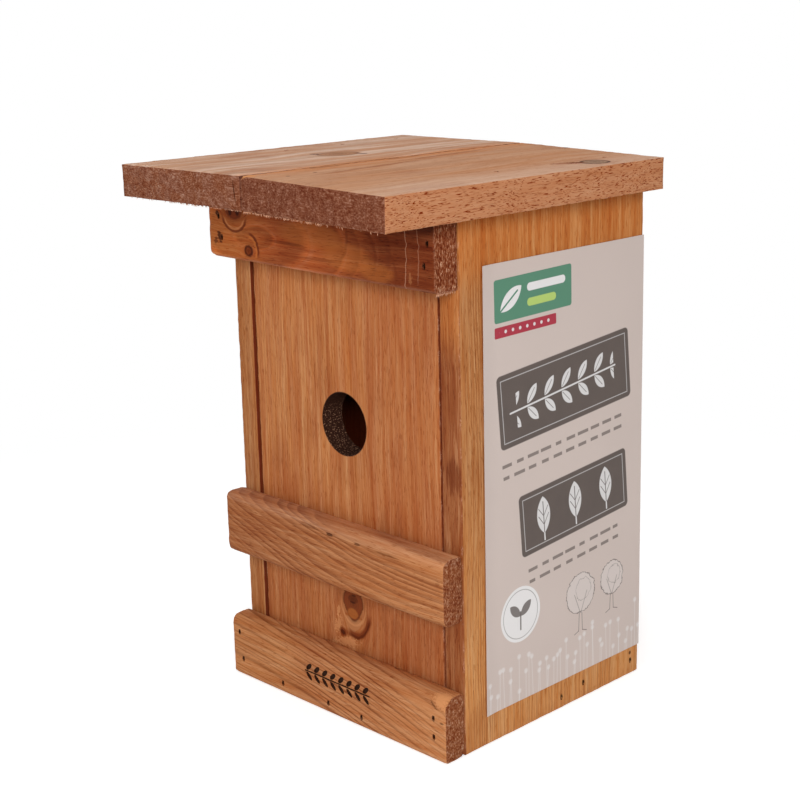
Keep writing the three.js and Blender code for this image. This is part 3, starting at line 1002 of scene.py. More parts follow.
class NESTBOX_OT_walls(bpy.types.Operator):
    """Model the two sides, the back and the floor"""

    bl_idname = "nestbox.walls"
    bl_label = "Walls and Floor"

    def execute(self, context):
        tones = context.scene.nestbox_tones
        sizes = context.scene.nestbox_sizes
        for node, growth in self.growths(tones).items():
            low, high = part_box(node)
            piece = sawn_board(f"{node}_wood", low, high, sizes, WALL_CELL)
            self.shape_top(piece, node, low, high, roof_slope(sizes))
            carve(piece, self.cutters(node, low, high))
            hand_over(piece, node, timber_finish(node, growth, tones))
        return {"FINISHED"}

    def growths(self, tones):
        """How each wall grew. The sides' planed front edges are darker than their faces."""
        side = {
            "grain": "Z", "face": "X", "early": tones.side_early, "late": tones.side_late,
            "end_tone": tones.batten_end, "fibre": 0.8, "band": 0.7, "contrast": 0.6, "soft": 0.3,
        }
        inner = {"early": tones.panel_early, "late": tones.panel_late, "end_tone": tones.batten_end}
        low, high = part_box("side_right")
        front = -(high.y - low.y) / 2 / MM
        edge = Wash("across", front + 1.0, front + 0.3, tones.side_edge, 0.75, 0.6)
        pale_edge = Wash("across", front + 1.0, front + 0.3, tones.side_edge, 0.45, 0.6)
        return {
            "side_right": Growth(
                **side, inner=-1, seed=11, ring=1.5, pith=(46, 30),
                washes=(
                    edge,
                    Wash("along", 52, 74, tones.amber, 0.5, 10, "side"),
                    Wash("along", -75, 20, tones.oil, 0.4, 10, "face"),
                    Wash("along", 80, 98, tones.amber, 0.6, 10, "face"),
                ),
                marks=pit_marks(node_names("brad", "side_right"), "side_right", 2, 1) + (
                    Mark(37, 2.0, 14, 3.0, 0.5, "oil", on="side", ragged=2.0),
                    Mark(8, 1.0, 8, 4.5, 0.6, "top_late", on="side", ragged=2.0),
                    Mark(-26, 2.0, 12, 2.5, 0.4, "oil", on="side", ragged=2.0),
                    Mark(-104, 52.6, 1.0, 0.8, 0.8),
                ),
            ),
            "side_left": Growth(
                **side, inner=1, seed=23, ring=1.7, pith=(-40, -34), washes=(pale_edge,),
                knots=(Knot(52, 21, 4.6, rim=0.5), Knot(-38, -16, 3.0, 1.3, rim=0.7)),
            ),
            "back_panel": Growth(
                **inner, inner=-1, grain="Z", face="Y", seed=31, ring=2.6, pith=(12, 40),
                knots=(Knot(-24, 22, 6.2, 1.2, rim=0.5), Knot(-72, -31, 3.4, rim=0.7)),
            ),
            "floor_board": Growth(**inner, inner=1, grain="X", face="Z", seed=43, ring=2.4, pith=(-20, -35)),
        }

    def shape_top(self, piece, node, low, high, slope):
        """Cuts the walls that carry the roof to its slope."""
        if node == "back_panel":
            slope_top(piece, Vector((body_middle().x, 0, high.z)), (-1, 1), slope)
        elif node == "side_right":
            slope_top(piece, Vector((low.x, 0, high.z)), (1,), slope)
        elif node == "side_left":
            slope_top(piece, Vector((high.x, 0, high.z)), (-1,), slope)

    def cutters(self, node, low, high):
        """What is cut out of each wall."""
        if node.startswith("side"):
            return brad_pits(node_names("brad", node), 0, 1 if node == "side_right" else -1)
        if node == "floor_board":
            middle, half = (low + high) / 2, (high - low) / 2
            across, deep = half.x + JOINT_GAP - DRAIN_INSET, half.y - DRAIN_INSET
            corners = [Vector((x * across, y * deep, 0)) for x in (-1, 1) for y in (-1, 1)]
            size = DRAIN_DIAMETER / 2, 4 * half.z
            return [add_rod("drain", middle + corner, *size, "Z") for corner in corners]
        radius = KEYHOLE_DIAMETER / 2 + POCKET_MARGIN
        hanger = middle_of("keyhole_hanger")
        place = Vector((hanger.x, high.y, hanger.z - KEYHOLE_BELOW))
        return [keyhole_cutter("pocket", place, radius, radius, 2 * POCKET_DEPTH)]


def keyhole_cutter(name, place, radius, slot, depth):
    """A keyhole through a plate: a round hole with a slot that rises from it and ends round."""
    top = place + Vector((0, 0, KEYHOLE_RISE))
    hole = add_rod(name, place, radius, depth, "Y")
    end = add_rod("slot_end", top, slot, depth, "Y")
    across = Vector((slot, depth / 2, 0))
    run = add_block("slot_run", place - across, top + across)
    for part in (end, run):
        combine(hole, part, "UNION")
    return hole


class NESTBOX_OT_door(bpy.types.Operator):
    """Model the lift-out front panel with its entrance"""

    bl_idname = "nestbox.door"
    bl_label = "Front Panel"

    def execute(self, context):
        tones = context.scene.nestbox_tones
        sizes = context.scene.nestbox_sizes
        low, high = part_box("door_panel")
        piece = sawn_board("door_panel_wood", low, high, sizes, DOOR_CELL)
        taper = DOOR_TAPER / (high.z - low.z)
        slice_off(piece, low, (-1, 0, taper))
        entrance = entrance_middle()
        radius = ENTRANCE_DIAMETER / 2
        carve(piece, [add_rod("entrance", entrance, radius, 4 * (high.y - low.y), "Y", ENTRANCE_SIDES)])
        rim = sizes.rim
        front = Vector((entrance.x, low.y, entrance.z))
        carve(piece, [add_cone("broken_rim", front, radius - rim, radius + rim, 2 * rim, ENTRANCE_SIDES)])
        material = timber_finish("door_panel", self.growth(tones), tones, self.scorch)
        hand_over(piece, "door_panel", material)
        return {"FINISHED"}

    def growth(self, tones):
        """Fine upright grain, and a knot with torn wood beside it between the two low battens."""
        low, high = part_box("door_panel")
        right = (high.x - low.x) / 2 / MM
        return Growth(
            grain="Z", face="Y", early=tones.panel_early, late=tones.panel_late, end_tone=tones.batten_end,
            inner=1, seed=5, ring=1.75, pith=(75, 24), lean=(0.012, 0), contrast=0.5,
            wander=1.0, tint=tones.panel_red, tint_share=0.45,
            knots=(Knot(-61.0, 1.9, 6.5, 1.25, taper=0.5, rim=0.45, halo=0.3),),
            arcs=(
                Arc(-62, 2.0, 10.4, -62, 60, 1.9, 0.9, "knot", 1.36),
                Arc(-62, 2.0, 10.8, -62, 50, 0.7, 0.5, "bark", 1.36),
                Arc(-61, 1.9, 8.0, -90, 110, 0.6, 0.5, "torn", 1.3),
            ),
            marks=(
                Mark(-65.8, 1.4, 2.6, 3.2, 0.4, "amber"),
                Mark(-73.0, -8.4, 4.0, 2.2, 0.65, "torn", 20, ragged=4.0),
                Mark(-66.5, -8.2, 2.6, 1.0, 0.7, "torn", 10, ragged=3.0),
                Mark(-80.2, -3.0, 2.0, 6.5, 0.65, "torn", -10, ragged=4.0),
                Mark(-76.2, -5.2, 2.3, 2.7, 0.9, "knot", 20),
                Mark(-76.4, -5.4, 1.1, 1.6, 0.7, "bark", 20),
                Mark(-58.8, 1.8, 1.8, 3.0, 0.45),
                Mark(-60.4, 1.6, 0.5, 1.7, 0.7),
                Mark(-57.0, 2.4, 0.5, 1.5, 0.6),
                Mark(-66, 30, 6, 3.5, 0.35, "oil"),
                Mark(-60, 22, 9, 2.2, 0.25, "oil"),
                Mark(-21, 24, 9, 3.0, 0.25, "oil"),
                Mark(-22, 32, 13, 2.6, 0.25, "oil"),
            ),
            washes=(
                Wash("across", -2, 26, tones.panel_red, 0.42, 12),
                # Painted shade in the gaps: on the door's left side and along its right edge
                Wash("across", 0, -1, tones.shade, 0.92, 0, "side"),
                Wash("across", right - 0.7, right - 0.25, tones.shade, 0.75, 0.3),
                Wash("along", -38, -68, tones.oil, 0.22, 12),
                Wash("along", 6, -24, tones.panel_red, 0.3, 16),
            ),
        )

    def scorch(self, finish, timber, colour, tones):
        """The wall of the entrance is dark, with pale fibres low on it."""
        x, y, z = finish.millimetres(entrance_middle())
        radius = ENTRANCE_DIAMETER / 2 / MM
        wall = (x.squared() + z.squared()).root().step(radius + 0.5, radius + 0.1)
        fibres = finish.noise(finish.vector(x / 0.5, y / 0.9, z / 0.5), 2.0).step(0.56, 0.68)
        low_part = (z + x * 0.7).step(0.0, -9.0)
        bore = finish.mix(tones.bore, tones.fibre, fibres * (low_part * 0.4 + 0.04))
        return finish.mix(colour, bore, wall)


class NESTBOX_OT_battens(bpy.types.Operator):
    """Model the three battens across the front"""

    bl_idname = "nestbox.battens"
    bl_label = "Battens"

    def execute(self, context):
        tones = context.scene.nestbox_tones
        sizes = context.scene.nestbox_sizes
        self.bottom(tones, sizes)
        self.middle(tones, sizes)
        self.top(tones, sizes)
        return {"FINISHED"}

    def bottom(self, tones, sizes):
        """The batten at the foot, with a chip off its right end and the burned ornament."""
        low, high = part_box("bottom_batten")
        radii = (sizes.bottom_low_round, sizes.bottom_round, sizes.heel_round, sizes.rear_round)
        piece = self.batten("bottom_batten", low, high, sizes, radii)
        inwards, back, down = BATTEN_CHIP
        chip = Vector((high.x - inwards, low.y + back, high.z - down))
        slice_off(piece, chip, (0.1, -0.62, 0.75))
        carve(piece, brad_pits(node_names("brad_bottom_batten"), 1, -1) + self.ornament(low, sizes.burn))
        material = timber_finish("bottom_batten", self.bottom_growth(tones), tones, self.char)
        hand_over(piece, "bottom_batten", material)

    def bottom_growth(self, tones):
        """Strong dark lines, and torn wood round the chip at its right end."""
        return Growth(
            grain="X", face="Y", early=tones.batten_early, late=tones.batten_late, end_tone=tones.batten_end,
            seed=61, ring=2.1, pith=(34, 14), lean=(-0.2, 0), bend=-0.0008, contrast=0.92, soft=0.2,
            marks=pit_marks(node_names("brad_bottom_batten"), "bottom_batten", 0, 2) + (
                Mark(67.0, 12.2, 4.2, 2.2, 0.9, "torn", -30, ragged=3.0),
                Mark(66.5, -2.6, 4.6, 2.6, 0.9, "torn", 10, "side", 3.0),
                Mark(63.4, 10.6, 2.6, 0.5, 0.5, "bark", -35, ragged=2.0),
                Mark(-30, 5.5, 3.5, 1.2, 0.4, "torn", 0, ragged=2.0),
                Mark(68.2, 3.5, 1.2, 0.5, 0.6),
            ),
            washes=(
                Wash("along", -10, -40, tones.side_early, 0.2, 12),
                Wash("along", 20, 70, tones.torn, 0.5, 12),
                Wash("across", 8.5, 11.5, tones.oil, 0.24, 3),
            ),
        )

    def middle(self, tones, sizes):
        """The batten that is fixed to the front panel."""
        low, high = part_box("middle_batten")
        radii = (sizes.middle_round, sizes.middle_round, sizes.rear_round, sizes.rear_round)
        piece = self.batten("middle_batten", low, high, sizes, radii)
        material = timber_finish("middle_batten", self.middle_growth(tones), tones)
        hand_over(piece, "middle_batten", material)

    def middle_growth(self, tones):
        """Wide rings that bend, with pitch along its upper edge."""
        return Growth(
            grain="X", face="Y", early=tones.batten_early, late=tones.batten_late, end_tone=tones.batten_end,
            seed=71, ring=3.1, pith=(46, 12), lean=(-0.2, 0), bend=0.0014, contrast=0.95, soft=0.5,
            fuzz=0.5,
            marks=(
                Mark(1.3, 10.3, 2.2, 0.8, 0.75),
                Mark(19, 9.9, 1.8, 0.7, 0.6),
                Mark(-12, 11.0, 6, 1.0, 0.3, ragged=2.0),
                Mark(38, 9.6, 7, 0.7, 0.35, ragged=2.0),
            ),
            washes=(
                Wash("along", 60, -66, tones.oil, 0.36, 12),
                Wash("along", -30, 30, tones.torn, 0.15, 12),
                Wash("across", 10.0, 12.5, tones.fibre, 0.16, 2),
            ),
        )

    def top(self, tones, sizes):
        """The batten under the roof, with a wane at its left end and torn fibres at its right one."""
        low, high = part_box("top_batten")
        middle = (low + high) / 2

        def front_low(edge):
            place = edge.verts[0].co
            return self.is_long(edge) and place.y < middle.y and place.z < middle.z

        rounding = sizes.top_round, front_low
        piece = sawn_board("top_batten_wood", low, high, sizes, BATTEN_CELL, [rounding])
        wide, tall = WANE
        slice_off(piece, low + Vector((wide, 0, 0)), (-tall, 0, -wide))
        carve(piece, brad_pits(node_names("brad_top_batten"), 1, -1))
        inwards, back, up = TOP_SPLINTER_INSET
        start = Vector((high.x - inwards, low.y + back, low.z + up))
        end = Vector((start.x, high.y - SPLINTER_MARGIN, start.z))
        hang = Vector((0.1, 0, -1))
        add_splinters(piece, start, end, TOP_SPLINTERS, sizes.splinter, hang, random.Random(7))
        material = timber_finish("top_batten", self.top_growth(tones), tones)
        hand_over(piece, "top_batten", material)

    def top_growth(self, tones):
        """Two knots at its left end, arcs round them and along it, a right half that is darker partly in its
        own tone and partly with painted shade under the roof, and the roof's painted shadow along its upper
        part.
        """
        return Growth(
            grain="X", face="Y", early=tones.top_early, late=tones.top_late, end_tone=paint(138, 74, 44),
            seed=83, ring=6.5, pith=(-2, 10), lean=(0, 0.42), wander=1.8, contrast=0.7, soft=0.6, glint=0.1,
            tint=tones.oil, fibre=0.6, blotch=0.5, speck=(1.6, 0.45), end_fleck=0.9, end_grit=3.4,
            knots=(Knot(-52.6, 8.6, 5.0, rim=0.3, halo=0.5), Knot(-43.3, -9.4, 2.1, 1.2, rim=0.8, halo=0.2)),
            arcs=(
                Arc(-52.6, 6.4, 8.2, 180, 88, 0.9, 0.85, "top_late", 1.05),
                Arc(-52.6, 6.4, 7.0, 180, 80, 0.6, 0.5, "torn", 1.05),
                Arc(-43.6, -9.4, 7.6, 55, 58, 1.1, 0.9, "top_late", 0.9),
                Arc(-43.6, -9.4, 6.2, 60, 66, 0.9, 0.45, "amber", 0.9),
                Arc(8, 2.5, 12.5, 90, 62, 1.2, 0.5, "top_late"),
                Arc(25, -4, 12.5, 84, 58, 1.2, 0.45, "top_late"),
                Arc(37, -9, 12.0, 76, 52, 1.0, 0.4, "top_late"),
                Arc(-20, 0, 75, 90, 18, 0.35, 0.4, "fibre"),
                Arc(-20, 0, 82, 90, 9, 0.35, 0.25, "fibre"),
            ),
            marks=pit_marks(node_names("brad_top_batten"), "top_batten", 0, 2) + (
                Mark(-2, 1.5, 20, 6.0, 0.3, "amber", ragged=0.6),
                Mark(20, -5.5, 15, 6.0, 0.3, "amber", ragged=0.6),
                Mark(38, -9.5, 10, 4.0, 0.3, "amber", ragged=0.6),
                Mark(-64.3, 5.2, 1.2, 1.2, 0.85),
                Mark(-63.2, -5.0, 1.4, 2.6, 0.85, "bark", 20),
                Mark(-66.0, -7.0, 2.0, 1.2, 0.6, "bark", 60, ragged=2.0),
                Mark(-55.2, 6.6, 1.2, 1.6, 0.85),
                Mark(-50.1, 7.2, 1.3, 1.9, 0.85),
                Mark(-18, -3.4, 11, 0.8, 0.4),
                Mark(2, -8.0, 12, 0.8, 0.3),
                Mark(57.0, -9.5, 1.0, 2.4, 0.25, "torn", ragged=2.5),
            ),
            washes=(
                Wash("along", -20, -60, tones.amber, 0.4, 10),
                # The right half is darker in its own tone and in painted shade under the roof; the two washes
                # across paint the roof's shadow on the upper part
                Wash("along", -5, 50, tones.top_late, 0.85, 14),
                Wash("across", 3, 13, tones.top_late, 0.6, 5),
                Wash("across", 6, 13, tones.bark, 0.85, 5),
                Wash("across", -12.6, -13.8, tones.fibre, 0.15, 1.6),
            ),
        )

    def batten(self, node, low, high, sizes, radii):
        """A batten with rounded long edges: front lower, front upper, rear lower and rear upper."""
        corners = [(y, z) for y in (low.y, high.y) for z in (low.z, high.z)]

        def at_corner(corner):
            def lies_there(edge):
                place = edge.verts[0].co
                reach = math.hypot(place.y - corner[0], place.z - corner[1])
                return self.is_long(edge) and reach < TOUCHING
            return lies_there

        roundings = [(radius, at_corner(corner)) for radius, corner in zip(radii, corners)]
        return sawn_board(f"{node}_wood", low, high, sizes, BATTEN_CELL, roundings)

    def is_long(self, edge):
        """Whether an edge is one of a batten's four long ones."""
        return runs_along(edge, 0, LONG_EDGE)

    def ornament(self, low, depth):
        """A plain twig with paired leaves, to be sunk into the front."""
        left, right = (body_middle().x + place for place in (ORNAMENT_LEFT, ORNAMENT_RIGHT))
        start, end = (Vector((x, low.y, ORNAMENT_HEIGHT)) for x in (left, right))
        stem = Vector((0, depth, STEM_WIDTH / 2))
        cutters = [add_block("stem", start - stem, end + stem)]
        pitch = (right - left) / LEAF_PAIRS
        reach = LEAF_LENGTH / 2
        for step in range(LEAF_PAIRS):
            for hand in (-1, 1):
                foot = start + Vector(((step + 0.2) * pitch, 0, hand * LEAF_GAP))
                leaf = add_rod("leaf", foot + Vector((reach, 0, 0)), reach, 2 * depth, "Y", LEAF_SIDES)
                only(leaf)
                bpy.ops.transform.resize(value=(1, 1, LEAF_SLIMNESS), center_override=foot)
                bpy.ops.transform.rotate(value=hand * LEAF_TURN, orient_axis="Y", center_override=foot)
                cutters.append(settle(leaf))
        return cutters

    def char(self, finish, timber, colour, tones):
        """What is sunk into the front face is burned, with a faint scorch round it."""
        low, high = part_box("bottom_batten")
        half = (high.y - low.y) / 2 / MM
        sunk = timber.deep.step(-half + 0.16, -half + 0.3)
        across = abs(timber.across - (ORNAMENT_HEIGHT - (low.z + high.z) / 2) / MM).step(6.0, 5.4)
        along = abs(timber.along - (ORNAMENT_LEFT + ORNAMENT_RIGHT) / 2 / MM)
        field = along.step(22.5, 21.5) * across * timber.deep.step(0.0, -2.0)
        scorched = finish.mix(colour, tones.oil, field * 0.12)
        return finish.mix(scorched, tones.burn, sunk * field * 0.96)


class NESTBOX_OT_roof(bpy.types.Operator):
    """Model the two rough-sawn roof boards"""

    bl_idname = "nestbox.roof"
    bl_label = "Roof"

    def execute(self, context):
        tones = context.scene.nestbox_tones
        sizes = context.scene.nestbox_sizes
        chance = random.Random(29)
        common = {
            "grain": "Y", "face": "Z", "late": tones.roof_late, "contrast": 0.6, "soft": 0.5, "wander": 4.5,
            "fibre": 0.4, "band": 0.35, "side_pore": 1.5, "fuzz": 0.12, "gloss": 0.8, "sheen": 0.06,
            "end_share": 0.9, "end_grit": 1.75, "end_fleck": 0.0, "speck": (1.0, 0.7),
            "tint": tones.roof_streak, "tint_share": 0.6,
        }
        boards = (
            (-1, "left", self.left_growth(common, tones)),
            (1, "right", self.right_growth(common, tones)),
        )
        for hand, side, growth in boards:
            node = f"roof_board_{side}"
            low, high, lean, pivot = self.flat_board(node, hand, sizes)
            piece = sawn_board(f"{node}_wood", low, high, sizes, ROOF_CELL)
            if hand > 0:
                across, deep, down = ROOF_CHIP
                slice_off(piece, Vector((low.x + across, low.y, high.z)), (-1 / across, -1 / deep, 1 / down))
            lean_over(piece, hand * lean, pivot)
            carve(piece, brad_pits(node_names("brad_roof", side), 2, 1))
            self.tear(piece, hand, low, pivot, lean, sizes, chance)
            material = timber_finish(node, growth, tones, None, (low, high), hand * lean, pivot)
            hand_over(piece, node, material)
        return {"FINISHED"}

    def left_growth(self, common, tones):
        """Pale wood with a large faint knot between two dark spots, and a crack in an end."""
        return Growth(
            **common, early=tones.roof_pale, end_tone=tones.roof_end, seed=97, ring=7, pith=(-15, -30),
            knots=(Knot(-2.2, 7.9, 7.8, 1.25, rim=0.5, halo=0.1, colour=tones.roof_late, turn=1.1),),
            marks=(
                Mark(-8.8, -0.3, 2.2, 2.0, 0.8, "bark", 52),
                Mark(5.0, 16.4, 2.0, 1.6, 0.8, "bark", 52),
                Mark(-40, 33, 30, 2.2, 0.4, "roof_streak", ragged=2.0),
                Mark(10, 24, 36, 3.0, 0.5, "roof_streak", ragged=2.0),
                Mark(-50, -8, 26, 5.0, 0.2, "roof_late", ragged=2.0),
                Mark(20, -18, 34, 4.0, 0.2, "roof_late", ragged=2.0),
                Mark(0.5, 36.5, 4.6, 0.35, 0.8, "bark", -8, "end"),
            ),
            washes=(
                Wash("across", 34, 42, tones.amber, 0.5, 10, "face"),
                Wash("across", -10, -11, tones.roof_side, 0.85, 0, "side"),
                Wash("across", 10, 11, tones.roof_end_dark, 0.9, 0, "side"),
            ),
        )

    def right_growth(self, common, tones):
        """Browner wood with a grey knot near its rear right corner, and dark lines along the seam."""
        return Growth(
            **common, early=tones.roof_early, end_tone=tones.roof_end_dark, seed=103, ring=8, pith=(6, -32),
            knots=(Knot(48.3, 31.0, 5.6, 1.2, rim=0.9, halo=0.2, colour=paint(146, 117, 94), turn=1.2),),
            marks=(
                Mark(40.0, 26.8, 4.0, 1.7, 0.85, "bark", 24, ragged=1.5),
                Mark(37.0, 26.0, 8.0, 3.0, 0.5, "oil", 24, ragged=1.5),
                Mark(-24, -24.5, 34, 1.8, 0.5, "oil", -5, ragged=2.5),
                Mark(22, -32, 30, 1.4, 0.45, "oil", -4, ragged=2.5),
                Mark(-14, -12, 40, 4.5, 0.4, "roof_late", -3, ragged=2.0),
                Mark(40, 2, 40, 6.0, 0.35, "roof_streak", -3, ragged=2.0),
                Mark(-55.8, -27.5, 1.0, 0.9, 0.7),
                Mark(-70.6, -26.4, 1.0, 0.9, 0.7),
                Mark(-81, -38.5, 3.4, 3.6, 0.9, "torn", ragged=0.4),
                Mark(-40, -38, 9, 0.8, 0.5, ragged=3),
                Mark(0, -37.6, 12, 0.7, 0.45, ragged=3),
            ),
            washes=(
                Wash("across", -30, -42, tones.amber, 0.6, 16, "face"),
                Wash("across", 14, 34, tones.roof_pale, 0.4, 10, "face"),
                Wash("across", 10, 11, tones.roof_side, 0.85, 0, "side"),
                Wash("across", -10, -11, tones.roof_end_dark, 0.9, 0, "side"),
                Wash("along", -60, -80, tones.roof_early, 0.4, 10, "face"),
            ),
        )

    def tear(self, piece, hand, low, pivot, lean, sizes, chance):
        """Leaves torn fibres under the sawn front end, most of them near the seam."""
        seam = abs(pivot.x - body_middle().x)
        front = low.y + ROOF_SPLINTER_INSET
        length = sizes.splinter * (0.8 if hand > 0 else 0.55)
        for count, reach in ROOF_SPLINTERS:
            ends = []
            for inwards in (seam - SPLINTER_MARGIN, seam * (1 - reach)):
                rise = inwards * math.sin(lean) + ROOF_SPLINTER_RISE
                ends.append(Vector((pivot.x - hand * inwards, front, pivot.z + rise)))
            add_splinters(piece, *ends, count, length, Vector((0, 0, -1)), chance)

    def flat_board(self, node, hand, sizes):
        """The board before it leans: its corners, its lean and the outer lower edge that it turns about."""
        low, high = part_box(node)
        across = high.x - low.x
        tall = high.z - low.z
        lean = math.atan(roof_slope(sizes))
        cosine, sine = math.cos(lean), math.sin(lean)
        width = (across * cosine - tall * sine) / math.cos(2 * lean)
        thickness = (tall * cosine - across * sine) / math.cos(2 * lean)
        outer = high.x - thickness * sine if hand > 0 else low.x + thickness * sine
        inner = outer - hand * width
        flat_low = Vector((min(outer, inner), low.y, low.z))
        flat_high = Vector((max(outer, inner), high.y, low.z + thickness))
        return flat_low, flat_high, lean, Vector((outer, 0, low.z))


def disc(place, along, up, radius):
    """Distance in millimetres to the edge of a disc, below 0 inside it."""
    return ((place[0] - along).squared() + (place[1] - up).squared()).root() - radius


def slab(place, along, up, wide, tall, corner):
    """Distance to the edge of a rectangle with round corners."""
    across = abs(place[0] - along) - (wide / 2 - corner)
    above = abs(place[1] - up) - (tall / 2 - corner)
    outside = (across.at_least(0.0).squared() + above.at_least(0.0).squared()).root()
    return outside + across.at_least(above).at_most(0.0) - corner


def stroke(place, start, end, width):
    """Distance to the edge of a straight line with round ends."""
    way = Vector(end) - Vector(start)
    along, up = place[0] - start[0], place[1] - start[1]
    share = ((along * way.x + up * way.y) / way.length_squared).at_least(0.0).at_most(1.0)
    gap = (along - share * way.x).squared() + (up - share * way.y).squared()
    return gap.root() - width / 2


def petal(place, along, up, length, width):
    """Distance to the edge of a pointed leaf that lies along the first axis."""
    radius = (length * length / width + width) / 4
    shift = radius - width / 2
    return disc(place, along, up + shift, radius).at_least(disc(place, along, up - shift, radius))


def turned(place, along, up, angle):
    """The place as seen from a point, turned by an angle in degrees."""
    sine, cosine = math.sin(math.radians(angle)), math.cos(math.radians(angle))
    right, above = place[0] - along, place[1] - up
    return right * cosine + above * sine, above * cosine - right * sine


def repeated(place, pitch):
    """The place within one of a row of fields, and the number of the field."""
    share = place[0] / pitch
    return ((share.maths("FRACT") - 0.5) * pitch, place[1]), share.maths("FLOOR")


class NESTBOX_OT_label(bpy.types.Operator):
    """Model the printed sheet on the right side"""

    bl_idname = "nestbox.label"
    bl_label = "Label"

    def execute(self, context):
        low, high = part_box("side_label")
        tones = context.scene.nestbox_tones
        sizes = context.scene.nestbox_sizes
        size = high - low
        middle = middle_of("side_label")
        deselect()
        bpy.ops.mesh.primitive_grid_add(
            x_subdivisions=60, y_subdivisions=34, size=1,
            location=(low.x, middle.y, middle.z), rotation=(0, math.pi / 2, 0),
        )
        sheet = bpy.context.active_object
        sheet.name = "label_sheet"
        sheet.scale = (size.z, size.y, 1)
        settle(sheet)
        with editing(sheet):
            pick(sheet, "VERT", lambda vert: vert.co.y < low.y + size.y * 0.001)
            bpy.ops.transform.translate(
                value=(sizes.paper_lift, 0, 0), use_proportional_edit=True,
                proportional_edit_falloff="SMOOTH", proportional_size=size.y * 0.06,
            )
        wear(sheet, sizes.paper_swell, PAPER_GRAIN, base=0.0)
        thick = sheet.modifiers.new("paper", "SOLIDIFY")
        thick.thickness = sizes.paper
        thick.offset = 1
        apply_modifier(sheet, thick)
        hand_over(sheet, "side_label", self.paper(low, tones))
        return {"FINISHED"}

    def paper(self, low, tones):
        """The print, drawn in millimetres from the sheet's lower front corner."""
        finish = Finish("label_paper")
        _, along, up = finish.millimetres(low)
        self.finish = finish
        self.tones = tones
        cloud = finish.noise(finish.vector(along / 45, up / 45, 0.0))
        self.colour = finish.brighten(tones.paper, 0.97 + cloud * 0.08)
        place = along, up
        self.draw_meadow(place)
        self.draw_tab(place)
        self.draw_twig_board(turned(place, 52, 135, 5))
        self.draw_dashes(turned(place, 10, 108, 5), 80)
        self.draw_leaf_board(turned(place, 58, 82, 5))
        self.draw_dashes(turned(place, 26, 58, 5), 62)
        self.draw_seal(place, 22, 40)
        self.draw_tree(place, 62, 20, 9.5)
        self.draw_tree(place, 84, 24, 8.0)
        fibres = finish.noise(finish.vector(along / 0.6, up / 0.9, 7.0), 2.0)
        finish.set(base_color=finish.brighten(self.colour, 0.985 + fibres * 0.03))
        finish.set(roughness=0.52 + fibres * 0.1)
        finish.relief(fibres * 0.01)
        return finish.material

    def lay(self, distance, colour, share=1.0, soft=0.14):
        """Prints a colour where a distance is below 0."""
        self.colour = self.finish.mix(self.colour, colour, distance.step(soft, -soft) * share)

    def outline(self, distance, colour, width, share=1.0):
        """Prints a line where a distance is 0."""
        self.lay(abs(distance) - width / 2, colour, share)

    def draw_meadow(self, place):
        """Pale stems with round heads along the lower edge."""
        for pitch, tall, shift in ((4.6, 15, 0.0), (6.2, 24, 31.7)):
            local, number = repeated((place[0] + shift, place[1]), pitch)
            chance = self.finish.chance(number + shift)
            height = chance * tall + tall * 0.3
            sway = (chance - 0.5) * place[1] * 0.12
            stem = (local[0] + sway, local[1] - height)
            blade = (abs(stem[0]) - 0.22).at_least(stem[1])
            self.lay(blade, self.tones.chalk, 0.4, 0.3)
            head = (stem[0].squared() + stem[1].squared()).root() - 1.15
            self.lay(head, self.tones.chalk, 0.5, 0.5)

    def draw_tab(self, place):
        """A green field with a pale leaf and two bars, and a red bar under it."""
        tones = self.tones
        field = turned(place, 31, 179, 1)
        self.lay(slab(field, 0, 0, 48, 18, 1.2), tones.leaf)
        leaf = turned(field, -14, 0, 35)
        self.lay(petal(leaf, 0, 0, 16, 7), tones.chalk)
        self.lay(stroke(leaf, (-8, 0), (5, 0), 0.8), tones.leaf)
        self.lay(slab(field, 8, 3.2, 24, 3.4, 1.6), tones.chalk)
        self.lay(slab(field, 5, -3.2, 18, 3.4, 1.6), paint(180, 205, 110))
        self.lay(slab(field, -5, -13, 38, 4.6, 0.6), tones.berry)
        local, _ = repeated((field[0] + 24, field[1] + 13), 4.4)
        dots = disc(local, 0, 0, 0.75).at_least(abs(field[0] + 5) - 16)
        self.lay(dots, tones.chalk, 0.85)

    def draw_ground(self, place, wide, tall, seed):
        """A dark field with a thin frame."""
        edge = slab(place, 0, 0, wide, tall, 2.2)
        grime = self.finish.noise(self.finish.vector(place[0] / 9, place[1] / 9, seed), 3.0)
        self.lay(edge, self.finish.brighten(self.tones.ink, 0.85 + grime * 0.3), 0.97, 0.25)
        self.outline(edge + 2.4, self.tones.chalk, 0.4, 0.55)

    def draw_twig_board(self, place):
        """A dark field with a twig of paired leaves."""
        tones = self.tones
        self.draw_ground(place, 86, 32, 3.0)
        inside = abs(place[0]) - 32
        self.lay(stroke(place, (-36, -1.5), (33, 1.0), 0.8), tones.chalk, 0.85)
        local, _ = repeated((place[0] + 5.5, abs(place[1] - place[0] * 0.036)), 11)
        pair = turned(local, -3.5, 0.5, 48)
        self.lay(petal(pair, 5.2, 0, 9.5, 4.2).at_least(inside), tones.chalk, 0.85)
        self.lay((abs(pair[1]) - 0.14).at_least(abs(pair[0] - 4.5) - 3.4).at_least(inside), tones.ink, 0.9)

